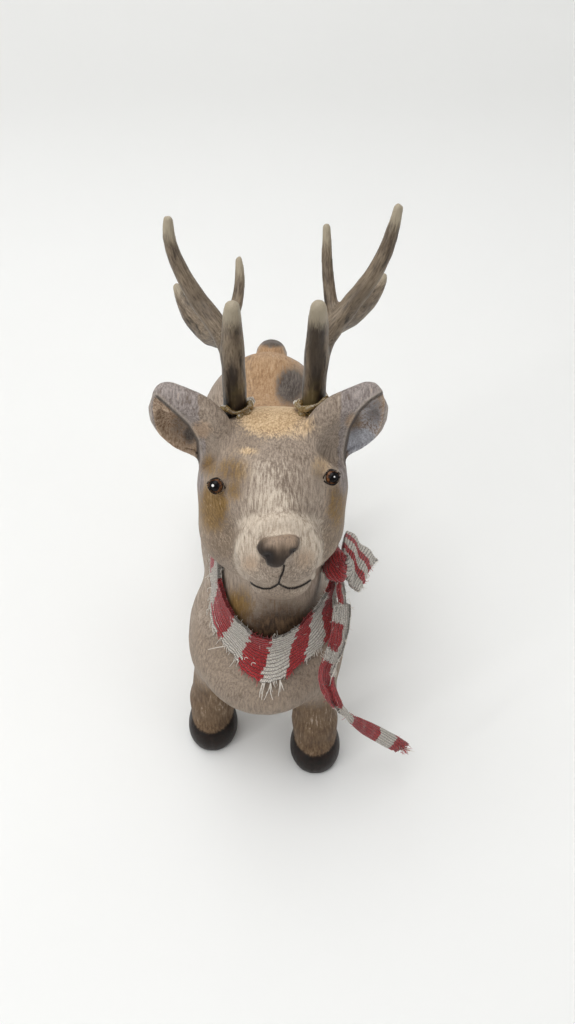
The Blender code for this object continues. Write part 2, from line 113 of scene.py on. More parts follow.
def line_distance(points: np.ndarray, line: list) -> np.ndarray:
    """Return the distance of each flat point from a line through the given corners.

    Args:
        points: Flat points, one (across, down) pair each.
        line: The line's corners.

    Returns:
        One distance for each point.
    """
    nearest = np.full(len(points), FAR_OFF)
    for start, end in zip(line[:-1], line[1:]):
        start, along = np.array(start), np.array(end) - np.array(start)
        share = np.clip((points - start) @ along / (along @ along), 0.0, 1.0)
        nearest = np.minimum(nearest, np.linalg.norm(points - start - share[:, None] * along, axis=1))
    return nearest


def outline_distance(points: np.ndarray, corners: list) -> np.ndarray:
    """Return the distance of each flat point from a closed outline.

    Args:
        points: Flat points, one (across, down) pair each.
        corners: The outline's corners in order.

    Returns:
        One distance for each point, below zero inside the outline.
    """
    away = line_distance(points, corners + corners[:1])
    inside = np.zeros(len(points), bool)
    for (ax, ay), (bx, by) in zip(corners, corners[1:] + corners[:1]):
        crosses = (ay > points[:, 1]) != (by > points[:, 1])
        at = ax + (points[:, 1] - ay) * (bx - ax) / ((by - ay) or 1e-9)
        inside ^= crosses & (points[:, 0] < at)
    return np.where(inside, -away, away)


def smooth_curve(waypoints: list, count: int) -> np.ndarray:
    """Find evenly stepped rows on a smooth curve.

    Args:
        waypoints: The rows that the curve passes through.
        count: How many rows to return.

    Returns:
        The rows on the curve.
    """
    rows = np.array(waypoints, float)
    rows = np.vstack([2 * rows[0] - rows[1], rows, 2 * rows[-1] - rows[-2]])
    spans = len(waypoints) - 1
    curve = []
    for value in np.linspace(0.0, spans, count):
        first = min(int(value), spans - 1)
        t = value - first
        a, b, c, d = rows[first : first + 4]
        bend = 2 * a - 5 * b + 4 * c - d
        curve.append(0.5 * (2 * b + (c - a) * t + bend * t**2 + (3 * b - a - 3 * c + d) * t**3))
    return np.array(curve)


def unit(vectors: np.ndarray) -> np.ndarray:
    """Return the vectors at length 1."""
    return vectors / np.maximum(np.linalg.norm(vectors, axis=-1, keepdims=True), 1e-9)


# ---------------------------------------------------------------- pieces


def pick(piece: bpy.types.Object) -> None:
    """Make a piece the only selected one and the active one.

    Args:
        piece: The piece.
    """
    bpy.ops.object.select_all(action="DESELECT")
    piece.select_set(True)
    bpy.context.view_layer.objects.active = piece


def spots(piece: bpy.types.Object) -> np.ndarray:
    """Read a piece's vertices.

    Args:
        piece: The piece.

    Returns:
        Its vertices in millimetres in the figure's frame.
    """
    points = np.empty(len(piece.data.vertices) * 3)
    piece.data.vertices.foreach_get("co", points)
    return points.reshape(-1, 3) / MM - FIGURE_SPOT


def place(piece: bpy.types.Object, points: np.ndarray) -> None:
    """Move a piece's vertices.

    Args:
        piece: The piece.
        points: New places in millimetres in the figure's frame.
    """
    piece.data.vertices.foreach_set("co", ((points + FIGURE_SPOT) * MM).ravel())
    piece.data.update()


def normals(piece: bpy.types.Object) -> np.ndarray:
    """Read the direction that each vertex faces.

    Args:
        piece: The piece.

    Returns:
        One direction of length 1 for each vertex.
    """
    facing = np.empty(len(piece.data.vertices) * 3)
    piece.data.vertices.foreach_get("normal", facing)
    return facing.reshape(-1, 3)


def note(piece: bpy.types.Object, name: str, values: np.ndarray) -> None:
    """Keep a number, or a vector, for each vertex under a name that a finish reads.

    Args:
        piece: The piece.
        name: The name that the finish reads.
        values: One number or vector for each vertex.
    """
    flat = values.ndim == 1
    layer = piece.data.attributes.new(name, "FLOAT" if flat else "FLOAT_VECTOR", "POINT")
    layer.data.foreach_set("value" if flat else "vector", np.ascontiguousarray(values, np.float32).ravel())


def apply_modifier(piece: bpy.types.Object, kind: str, **settings) -> None:
    """Add a modifier to a piece and apply it.

    Args:
        piece: The piece.
        kind: The modifier's type.
        settings: The modifier's own settings.
    """
    pick(piece)
    modifier = piece.modifiers.new(kind.title(), kind)
    for key, value in settings.items():
        setattr(modifier, key, value)
    bpy.ops.object.modifier_apply(modifier=modifier.name)


def remeshed_copy(node: str, name: str, voxel: float, rounds: int) -> bpy.types.Object:
    """Copy a solid as a fine even mesh with its facets smoothed away.

    Args:
        node: The solid's name.
        name: The new piece's name.
        voxel: The size of the new faces in millimetres.
        rounds: How many times the surface is smoothed.

    Returns:
        The new piece, in place.
    """
    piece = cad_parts[node].copy()
    piece.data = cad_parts[node].data.copy()
    piece.name = name
    for key in list(piece.keys()):
        del piece[key]
    piece.parent = None
    bpy.context.scene.collection.objects.link(piece)
    pick(piece)
    bpy.ops.object.mode_set(mode="EDIT")
    bpy.ops.mesh.select_all(action="SELECT")
    bpy.ops.mesh.remove_doubles(threshold=1e-6)
    bpy.ops.object.mode_set(mode="OBJECT")
    piece.data.remesh_voxel_size = voxel * MM
    piece.data.remesh_voxel_adaptivity = 0.0
    bpy.ops.object.voxel_remesh()
    apply_modifier(piece, "SMOOTH", factor=0.5, iterations=rounds)
    return piece


def split_faces(piece: bpy.types.Object, chosen: np.ndarray) -> None:
    """Split the chosen faces of a piece into four, once.

    Args:
        piece: The piece.
        chosen: True for each face to split.
    """
    pick(piece)
    bpy.ops.object.mode_set(mode="EDIT")
    bpy.ops.mesh.select_mode(type="FACE")
    bpy.ops.mesh.select_all(action="DESELECT")
    bpy.ops.object.mode_set(mode="OBJECT")
    piece.data.polygons.foreach_set("select", chosen)
    bpy.ops.object.mode_set(mode="EDIT")
    bpy.ops.mesh.subdivide(number_cuts=1, smoothness=0.0)
    bpy.ops.object.mode_set(mode="OBJECT")


def face_centres(piece: bpy.types.Object) -> np.ndarray:
    """Find the middle of each face.

    Args:
        piece: The piece.

    Returns:
        The middles in millimetres in the figure's frame.
    """
    centres = np.empty(len(piece.data.polygons) * 3)
    piece.data.polygons.foreach_get("center", centres)
    return centres.reshape(-1, 3) / MM - FIGURE_SPOT


def finish_piece(piece: bpy.types.Object, material: bpy.types.Material) -> bpy.types.Object:
    """Dress a piece, shade it smooth, and let it ride on the figure.

    Args:
        piece: The piece.
        material: Its finish.

    Returns:
        The same piece.
    """
    pick(piece)
    piece.data.materials.clear()
    piece.data.materials.append(material)
    bpy.ops.object.shade_smooth()
    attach(piece, "root")
    triangles = sum(len(face.vertices) - 2 for face in piece.data.polygons)
    logger.info("%s: %d triangles", piece.name, triangles)
    return piece


# ---------------------------------------------------------------- finishes


class Recipe:
    """A material that is put together one node at a time."""

    def __init__(self, name: str) -> None:
        """Start a material with a Principled surface.

        Args:
            name: The material's name.
        """
        self.material = bpy.data.materials.new(name)
        self.material.use_nodes = True
        self.nodes = self.material.node_tree.nodes
        self.links = self.material.node_tree.links
        self.surface = self.nodes["Principled BSDF"]
        self.place = self.put("ShaderNodeTexCoord").outputs["Object"]

    def put(self, kind: str, inputs: dict | None = None, **settings) -> bpy.types.Node:
        """Add a node.

        Args:
            kind: The node's type.
            inputs: Values or sockets for its inputs, by name or number.
            settings: Its own settings.

        Returns:
            The new node.
        """
        node = self.nodes.new(kind)
        for key, value in settings.items():
            setattr(node, key, value)
        for key, value in (inputs or {}).items():
            self.feed(node.inputs[key], value)
        return node

    def feed(self, socket: bpy.types.NodeSocket, value: object) -> None:
        """Link a socket to an input, or set the input's value.

        Args:
            socket: The input.
            value: A socket to link, or a value to set.
        """
        if isinstance(value, bpy.types.NodeSocket):
            self.links.new(value, socket)
        elif isinstance(value, tuple) and len(value) == 3 and socket.type == "RGBA":
            socket.default_value = (*value, 1.0)
        else:
            socket.default_value = value

    def math(
        self, operation: str, first: object, second: object = 0.0, third: object = 0.0
    ) -> bpy.types.NodeSocket:
        """Return the result of a sum on two or three numbers."""
        return self.put("ShaderNodeMath", {0: first, 1: second, 2: third}, operation=operation).outputs[0]

    def noted(self, name: str, vector: bool = False) -> bpy.types.NodeSocket:
        """Return what the piece keeps under a name."""
        return self.put("ShaderNodeAttribute", attribute_name=name).outputs["Vector" if vector else "Fac"]

    def stretched(
        self, scale: tuple, turn: tuple = (0.0, 0.0, 0.0), source: object = None
    ) -> bpy.types.NodeSocket:
        """Return the place on the piece, turned and then scaled, in cells."""
        turned = self.put("ShaderNodeMapping", {"Vector": source or self.place, "Rotation": turn}).outputs[0]
        return self.put("ShaderNodeMapping", {"Vector": turned, "Scale": scale}).outputs[0]

    def noise(
        self, vector: object, detail: float = 3.0, roughness: float = 0.6, scale: float = 1.0
    ) -> bpy.types.NodeSocket:
        """Return an even noise of the given detail."""
        inputs = {"Vector": vector, "Scale": scale, "Detail": detail, "Roughness": roughness}
        return self.put("ShaderNodeTexNoise", inputs).outputs["Fac"]

    def step(
        self, value: object, low: float, high: float, to_low: float = 0.0, to_high: float = 1.0
    ) -> bpy.types.NodeSocket:
        """Return a smooth step of a value between two levels."""
        inputs = {"Value": value, "From Min": low, "From Max": high, "To Min": to_low, "To Max": to_high}
        return self.put("ShaderNodeMapRange", inputs, interpolation_type="SMOOTHSTEP").outputs["Result"]

    def blend(self, share: object, first: object, second: object, mode: str = "MIX") -> bpy.types.NodeSocket:
        """Mix two colours.

        Args:
            share: How much of the second colour to take.
            first: The first colour.
            second: The second colour.
            mode: How they are mixed.

        Returns:
            The mixed colour.
        """
        node = self.put("ShaderNodeMix", data_type="RGBA", blend_type=mode)
        self.feed(node.inputs["Factor"], share)
        self.feed(node.inputs[6], first)
        self.feed(node.inputs[7], second)
        return node.outputs[2]

    def bump(
        self, height: object, depth: float, strength: float, under: object = None
    ) -> bpy.types.NodeSocket:
        """Raise a normal by a height.

        Args:
            height: The height, from 0 to 1.
            depth: How deep the relief is in millimetres.
            strength: How strongly it shows.
            under: The normal of a coarser relief below it.

        Returns:
            The raised normal.
        """
        inputs = {"Height": height, "Distance": depth * MM, "Strength": strength}
        if under is not None:
            inputs["Normal"] = under
        return self.put("ShaderNodeBump", inputs).outputs[0]


@dataclass(frozen=True)
class Tint:
    """A paint as the darkest and the lightest tone of its strokes."""

    dark: tuple
    light: tuple


@dataclass(frozen=True)
class CoatFinish:
    """Airbrushed patches under a dry-brushed coat of fine fur strokes, with painted shade in hollows and
    creases and painted highlights on rims.
    """

    fur: Tint = Tint((0.175, 0.130, 0.096), (0.46, 0.375, 0.300))
    tan: Tint = Tint((0.36, 0.215, 0.100), (0.78, 0.59, 0.37))
    rust: Tint = Tint((0.095, 0.045, 0.008), (0.31, 0.190, 0.065))
    cream: Tint = Tint((0.37, 0.290, 0.22), (0.69, 0.60, 0.49))
    jaw: Tint = Tint((0.115, 0.078, 0.050), (0.33, 0.250, 0.180))
    blush: Tint = Tint((0.26, 0.165, 0.100), (0.52, 0.38, 0.27))
    saddle: Tint = Tint((0.25, 0.135, 0.060), (0.50, 0.33, 0.19))
    # Painted shade in the ear folds, the ear cups and on the neck, and the coat's own dark patches.
    shade_and_dark_patches: Tint = Tint((0.035, 0.026, 0.022), (0.17, 0.140, 0.118))
    bark: Tint = Tint((0.012, 0.005, 0.002), (0.135, 0.080, 0.043))
    leg: Tint = Tint((0.070, 0.038, 0.018), (0.235, 0.155, 0.090))
    mauve: Tint = Tint((0.135, 0.108, 0.100), (0.42, 0.368, 0.342))
    hollow: Tint = Tint((0.17, 0.095, 0.048), (0.64, 0.49, 0.36))
    # Bluish white painted highlight in the left ear cup.
    ear_cup_highlight: Tint = Tint((0.24, 0.235, 0.255), (0.66, 0.67, 0.72))
    hoof: Tint = Tint((0.004, 0.002, 0.001), (0.017, 0.007, 0.004))
    nose: Tint = Tint((0.008, 0.004, 0.003), (0.31, 0.225, 0.160))
    ink: tuple = (0.008, 0.004, 0.003)

    def material(self) -> bpy.types.Material:
        """Mix the coat.

        Returns:
            The material that reads the patches kept on the body.
        """
        mix = Recipe("painted_coat")
        upright = mix.noise(mix.stretched((1250.0, 1250.0, 170.0)), 4.0, 0.68)
        along = mix.noise(mix.stretched((1250.0, 160.0, 1250.0)), 4.0, 0.68)
        brow = mix.noise(mix.stretched((1700.0, 1500.0, 300.0), (math.radians(43.0), 0.0, 0.0)), 4.0, 0.7)
        strokes = mix.put("ShaderNodeMix", {"Factor": mix.noted("lie_body"), 2: upright, 3: along}).outputs[0]
        strokes = mix.put("ShaderNodeMix", {"Factor": mix.noted("lie_face"), 2: strokes, 3: brow}).outputs[0]
        grit = mix.noise(mix.stretched((2600.0, 2600.0, 2600.0)), 2.0, 0.7)
        cloud = mix.noise(mix.stretched((95.0, 95.0, 95.0)), 3.0, 0.6)
        fleck = mix.noise(mix.stretched((420.0, 420.0, 420.0)), 4.0, 0.72)
        pull = mix.math("ADD", mix.math("MULTIPLY", strokes, 0.75), mix.math("MULTIPLY", grit, 0.25))
        tone = mix.step(pull, 0.32, 0.70)
        tone = mix.math(
            "MULTIPLY_ADD",
            mix.math("SUBTRACT", fleck, 0.5),
            mix.step(mix.noted("lie_face"), 0.0, 1.0, 0.26, 0.55),
            tone,
        )
        tone = mix.math("MULTIPLY_ADD", mix.math("SUBTRACT", cloud, 0.5), 0.8, tone)
        drift = mix.math(
            "ADD",
            mix.math("MULTIPLY", mix.math("SUBTRACT", cloud, 0.5), 1.3),
            mix.math("MULTIPLY", mix.math("SUBTRACT", fleck, 0.5), 0.8),
        )
        edge = mix.math("MULTIPLY_ADD", mix.math("SUBTRACT", strokes, 0.5), 2.2, drift)
        colour = mix.blend(tone, self.fur.dark, self.fur.light)
        for name in (
            "mauve", "saddle", "leg", "jaw", "cream", "blush", "rust", "tan", "hollow", "ear_cup_highlight", "shade_and_dark_patches",
            "bark",
        ):
            tint = getattr(self, name)
            mask = mix.step(mix.math("MULTIPLY_ADD", edge, 0.6, mix.noted(name)), 0.15, 0.85)
            colour = mix.blend(mask, colour, mix.blend(tone, tint.dark, tint.light))
        # Painted highlight: a pale cream line along the muzzle rim where the surface turns away, and a paler
        # line along the ear-cup rims.
        rim = mix.step(mix.noted("rim_highlight"), 0.2, 0.9)
        colour = mix.blend(mix.math("MULTIPLY", rim, 0.6), colour, self.cream.light)
        cells = mix.put(
            "ShaderNodeTexVoronoi",
            {"Vector": mix.stretched((210.0, 210.0, 330.0)), "Randomness": 1.0},
            feature="DISTANCE_TO_EDGE",
        ).outputs["Distance"]
        crack = mix.math(
            "MULTIPLY", mix.step(cells, 0.0, 0.022, 1.0, 0.0), mix.step(mix.noted("cracked"), 0.3, 0.7)
        )
        colour = mix.blend(crack, colour, (0.055, 0.032, 0.022))
        hoof_line = mix.math("MULTIPLY_ADD", mix.math("SUBTRACT", cloud, 0.5), 1.6, mix.noted("above_hoof"))
        hoof_line = mix.math("MULTIPLY_ADD", mix.math("SUBTRACT", strokes, 0.5), 1.1, hoof_line)
        hooves = mix.step(hoof_line, -0.5, 0.5, 1.0, 0.0)
        colour = mix.blend(
            hooves, colour, mix.blend(mix.step(fleck, 0.3, 0.75), self.hoof.dark, self.hoof.light)
        )
        pad = mix.step(
            mix.math("MULTIPLY_ADD", mix.math("SUBTRACT", grit, 0.5), 0.5, mix.noted("off_nose")),
            -0.25,
            0.25,
            1.0,
            0.0,
        )
        # Painted light and shade on the nose pad: lighter towards the top, darker at both ends and in the
        # nostrils.
        pad_tone = mix.math("MULTIPLY", mix.noted("nose_light_and_shade"), mix.step(strokes, 0.25, 0.65, 0.55, 1.15))
        colour = mix.blend(pad, colour, mix.blend(pad_tone, self.nose.dark, self.nose.light))
        lines = mix.step(
            mix.math("MULTIPLY_ADD", mix.math("SUBTRACT", grit, 0.5), 0.25, mix.noted("off_ink")),
            0.16,
            0.42,
            1.0,
            0.0,
        )
        colour = mix.blend(lines, colour, self.ink)
        # Painted shade: black in the hole beside the foot of the right antler.
        hole_shade = mix.step(mix.noted("hole_shade"), 0.25, 0.8)
        colour = mix.blend(hole_shade, colour, self.ink)
        mix.feed(mix.surface.inputs["Base Color"], colour)
        rough = mix.step(mix.math("MAXIMUM", hooves, pad), 0.0, 1.0, 0.60, 0.44)
        rough = mix.math("MULTIPLY_ADD", mix.math("SUBTRACT", fleck, 0.5), 0.25, rough)
        mix.feed(mix.surface.inputs["Roughness"], rough)
        mix.surface.inputs["Specular IOR Level"].default_value = 0.25
        height = mix.math("MULTIPLY_ADD", crack, -1.5, mix.math("MULTIPLY_ADD", grit, 0.35, strokes))
        fine = mix.bump(height, 0.22, 0.55)
        mix.feed(mix.surface.inputs["Normal"], mix.bump(fleck, 0.30, 0.35, fine))
        return mix.material


@dataclass(frozen=True)
class AntlerFinish:
    """Grey-brown antler paint with dark streaks along the grain, pale rubbed tips and painted shade in the
    hole at the antler's foot.
    """

    tone: Tint = Tint((0.070, 0.047, 0.030), (0.28, 0.215, 0.145))
    streak: tuple = (0.020, 0.012, 0.007)
    olive: tuple = (0.15, 0.110, 0.040)
    tip: tuple = (0.42, 0.36, 0.26)

    def material(self) -> bpy.types.Material:
        """Mix the antler paint.

        Returns:
            The material that reads the grain kept on an antler.
        """
        mix = Recipe("antler_paint")
        grain = mix.noted("grain", vector=True)
        broad = mix.noise(mix.stretched((0.42, 0.42, 0.085), source=grain), 4.0, 0.62)
        fine = mix.noise(mix.stretched((2.4, 2.4, 0.30), source=grain), 4.0, 0.65)
        patch = mix.noise(mix.stretched((120.0, 120.0, 70.0)), 3.0, 0.6)
        speck = mix.noise(mix.stretched((1500.0, 1500.0, 1500.0)), 2.0, 0.7)
        tone = mix.step(mix.math("MULTIPLY_ADD", patch, 0.5, fine), 0.50, 1.0)
        colour = mix.blend(tone, self.tone.dark, self.tone.light)
        low = mix.noted("low")
        reach = mix.math(
            "MULTIPLY_ADD",
            low,
            0.21,
            mix.math("MULTIPLY_ADD", mix.math("SUBTRACT", fine, 0.5), 0.35, broad),
        )
        colour = mix.blend(mix.math("MULTIPLY", mix.step(reach, 0.56, 0.72), 0.92), colour, self.streak)
        dark = mix.math(
            "MULTIPLY_ADD",
            mix.math("SUBTRACT", fine, 0.5),
            1.6,
            mix.math("MULTIPLY_ADD", mix.math("SUBTRACT", broad, 0.5), 1.6, mix.noted("stained")),
        )
        colour = mix.blend(mix.math("MULTIPLY", mix.step(dark, 0.15, 1.15), 0.85), colour, self.streak)
        stain = mix.math("MULTIPLY", mix.step(low, 0.55, 1.0), mix.step(patch, 0.42, 0.62))
        colour = mix.blend(mix.math("MULTIPLY", stain, 0.7), colour, self.olive)
        tips = mix.step(
            mix.math("MULTIPLY_ADD", mix.math("SUBTRACT", fine, 0.5), 0.8, mix.noted("tip")), 0.35, 1.0
        )
        colour = mix.blend(mix.math("MULTIPLY", tips, 0.75), colour, self.tip)
        colour = mix.blend(mix.step(speck, 0.70, 0.78, 0.0, 0.7), colour, self.streak)
        # Painted shade: black in the hole at the foot of the right antler.
        colour = mix.blend(mix.step(mix.noted("hole_shade"), 0.25, 0.8), colour, (0.008, 0.006, 0.005))
        mix.feed(mix.surface.inputs["Base Color"], colour)
        mix.feed(mix.surface.inputs["Roughness"], mix.step(patch, 0.3, 0.7, 0.38, 0.58))
        mix.surface.inputs["Specular IOR Level"].default_value = 0.4
        ridges = mix.bump(broad, 0.6, 0.45)
        mix.feed(mix.surface.inputs["Normal"], mix.bump(fine, 0.18, 0.55, ridges))
        return mix.material


@dataclass(frozen=True)
class EyeFinish:
    """A glossy painted eye: black pupil, brown ring, dark rim and a painted glint dot."""

    iris: Tint = Tint((0.022, 0.008, 0.004), (0.17, 0.070, 0.026))
    white: tuple = (0.36, 0.29, 0.22)
    black: tuple = (0.003, 0.002, 0.002)
    # Colour of the painted glint dot.
    glint_dot: tuple = (0.86, 0.85, 0.82)

    def material(self) -> bpy.types.Material:
        """Mix the eye.

        Returns:
            The material that reads how far a spot is from the middle of the gaze.
        """
        mix = Recipe("painted_eye")
        away = mix.noted("gaze")
        rays = mix.noise(mix.stretched((1500.0, 1500.0, 1500.0)), 3.0, 0.6)
        iris = mix.blend(mix.step(rays, 0.35, 0.65), self.iris.dark, self.iris.light)
        colour = mix.blend(mix.step(away, 0.60, 0.70), self.black, iris)
        colour = mix.blend(mix.step(away, 0.92, 1.00), colour, self.black)
        colour = mix.blend(mix.step(away, 1.06, 1.14), colour, self.white)
        # Painted highlight: a white glint dot where the reflection of a lamp would show.
        colour = mix.blend(mix.step(mix.noted("glint_dot"), -0.07, 0.07), colour, self.glint_dot)
        mix.feed(mix.surface.inputs["Base Color"], colour)
        mix.surface.inputs["Roughness"].default_value = 0.22
        mix.surface.inputs["Specular IOR Level"].default_value = 0.08
        mix.surface.inputs["Coat Weight"].default_value = 0.14
        mix.surface.inputs["Coat Roughness"].default_value = 0.03
        mix.feed(mix.surface.inputs["Normal"], mix.bump(rays, 0.02, 0.2))
        return mix.material


@dataclass(frozen=True)
class GlueFinish:
    """Clear yellowish hot glue with dust and bubbles in it."""

    clear: tuple = (0.50, 0.37, 0.17)
    dusty: tuple = (0.30, 0.19, 0.07)

    def material(self) -> bpy.types.Material:
        """Mix the glue.

        Returns:
            The material.
        """
        mix = Recipe("hot_glue")
        haze = mix.noise(mix.stretched((420.0, 420.0, 420.0)), 3.0, 0.6)
        bubbles = mix.noise(mix.stretched((1700.0, 1700.0, 1700.0)), 2.0, 0.6)
        colour = mix.blend(mix.step(haze, 0.35, 0.65), self.clear, self.dusty)
        mix.feed(mix.surface.inputs["Base Color"], colour)
        mix.feed(mix.surface.inputs["Roughness"], mix.step(bubbles, 0.4, 0.75, 0.06, 0.28))
        mix.surface.inputs["Transmission Weight"].default_value = 0.55
        mix.surface.inputs["IOR"].default_value = 1.48
        mix.surface.inputs["Coat Weight"].default_value = 0.8
        mix.surface.inputs["Coat Roughness"].default_value = 0.05
        mix.feed(mix.surface.inputs["Normal"], mix.bump(haze, 0.3, 0.25))
        return mix.material


@dataclass(frozen=True)
class WoolFinish:
    """Coarse woven cloth: soft-spun yarns side by side, in red and off-white stripes, with painted shade
    between the yarns.
    """

    red: Tint = Tint((0.17, 0.005, 0.008), (0.74, 0.060, 0.062))
    white: Tint = Tint((0.50, 0.435, 0.360), (0.98, 0.925, 0.85))
    # How dark the painted shade in the gaps between the yarns is.
    gap: float = 0.30

    def cloth(self) -> bpy.types.Material:
        """Mix the cloth.

        Returns:
            The material that reads the cloth's own map, in yarns across and millimetres along.
        """
        mix = Recipe("woven_scarf")
        sheet = mix.put("ShaderNodeUVMap", uv_map="weave").outputs[0]
        parts = mix.put("ShaderNodeSeparateXYZ", {0: sheet})
        run, across = parts.outputs[0], parts.outputs[1]
        wander = mix.noise(mix.stretched((0.28, 0.6, 1.0), source=sheet), 2.0, 0.5)
        across = mix.math("MULTIPLY_ADD", mix.math("SUBTRACT", wander, 0.5), 0.45, across)
        yarn = mix.math("FLOOR", across)
        inside = mix.math("SUBTRACT", mix.math("FRACT", across), 0.5)
        crown = mix.math("SUBTRACT", 1.0, mix.math("MULTIPLY", mix.math("MULTIPLY", inside, inside), 4.0))
        pick_one = mix.put("ShaderNodeTexWhiteNoise", {"W": yarn}, noise_dimensions="1D").outputs["Value"]
        along = mix.put("ShaderNodeCombineXYZ", {0: run, 1: mix.math("MULTIPLY", yarn, 3.7)}).outputs[0]
        slub = mix.noise(mix.stretched((1.1, 1.0, 1.0), source=along), 3.0, 0.65)
        fibre = mix.noise(mix.stretched((5.0, 9.0, 1.0), source=sheet), 4.0, 0.75)
        fuzz = mix.noise(mix.stretched((2300.0, 2300.0, 2300.0)), 3.0, 0.75)
        jag = mix.math(
            "MULTIPLY_ADD",
            mix.math("SUBTRACT", pick_one, 0.5),
            1.5,
            mix.math("MULTIPLY", mix.math("SUBTRACT", slub, 0.5), 1.4),
        )
        jag = mix.math("MULTIPLY", jag, mix.noted("ragged"))
        red = mix.step(mix.math("ADD", mix.noted("red"), jag), -0.12, 0.12)
        tone = mix.math("MULTIPLY_ADD", mix.math("SUBTRACT", fibre, 0.5), 1.7, mix.step(fuzz, 0.32, 0.68))
        pink = mix.blend(tone, self.red.dark, self.red.light)
        pale = mix.blend(tone, self.white.dark, self.white.light)
        faded = mix.math("MULTIPLY", mix.noted("faded"), 0.55)
        pink = mix.blend(faded, pink, (0.62, 0.20, 0.21))
        colour = mix.blend(red, pale, pink)
        # Painted shade: darker in the gaps between the yarns and along the twist of each yarn.
        yarn_gap_shade = mix.step(crown, 0.0, 0.72, self.gap, 1.0)
        twist = mix.put(
            "ShaderNodeTexWave",
            {
                "Vector": mix.stretched((1.35, 1.15, 1.0), (0.0, 0.0, 0.55), source=sheet),
                "Scale": 0.5,
                "Distortion": 1.6,
                "Detail": 2.0,
            },
        ).outputs["Fac"]
        shade = mix.math("MULTIPLY", yarn_gap_shade, mix.step(twist, 0.0, 0.7, 0.55, 1.0))
        shade_colour = mix.put("ShaderNodeCombineColor", {0: shade, 1: shade, 2: shade}).outputs[0]
        colour = mix.blend(1.0, colour, shade_colour, "MULTIPLY")
        mix.feed(mix.surface.inputs["Base Color"], colour)
        mix.surface.inputs["Roughness"].default_value = 0.95
        mix.surface.inputs["Specular IOR Level"].default_value = 0.15
        mix.surface.inputs["Sheen Weight"].default_value = 0.35
        mix.surface.inputs["Sheen Roughness"].default_value = 0.5
        weave = mix.math("MULTIPLY_ADD", twist, 0.45, crown)
        heavy = mix.bump(weave, 0.45, 0.8)
        mix.feed(mix.surface.inputs["Normal"], mix.bump(mix.math("ADD", fuzz, fibre), 0.22, 0.7, heavy))
        return mix.material

    def thread(self) -> bpy.types.Material:
        """Mix the loose threads.

        Returns:
            The material of the frayed ends and stray hairs.
        """
        mix = Recipe("loose_threads")
        fibre = mix.noise(mix.stretched((2600.0, 2600.0, 2600.0)), 3.0, 0.7)
        pink = mix.blend(fibre, self.red.dark, self.red.light)
        pale = mix.blend(fibre, self.white.dark, self.white.light)
        mix.feed(
            mix.surface.inputs["Base Color"], mix.blend(mix.step(mix.noted("red"), -0.05, 0.05), pale, pink)
        )
        mix.surface.inputs["Roughness"].default_value = 0.9
        mix.surface.inputs["Sheen Weight"].default_value = 0.3
        mix.feed(mix.surface.inputs["Normal"], mix.bump(fibre, 0.1, 0.5))
        return mix.material


@dataclass(frozen=True)
class StageFinish:
    """Plain pale paper for the floor and the wall behind it."""

    paper: tuple = (0.86, 0.86, 0.845)

    def material(self) -> bpy.types.Material:
        """Mix the paper.

        Returns:
            The material.
        """
        mix = Recipe("pale_paper")
        mottle = mix.noise(mix.stretched((14.0, 14.0, 14.0)), 2.0, 0.5)
        mix.feed(
            mix.surface.inputs["Base Color"],
            mix.blend(mottle, self.paper, tuple(0.985 * part for part in self.paper)),
        )
        mix.surface.inputs["Roughness"].default_value = 0.75
        mix.surface.inputs["Specular IOR Level"].default_value = 0.2
        return mix.material


# ---------------------------------------------------------------- the animal


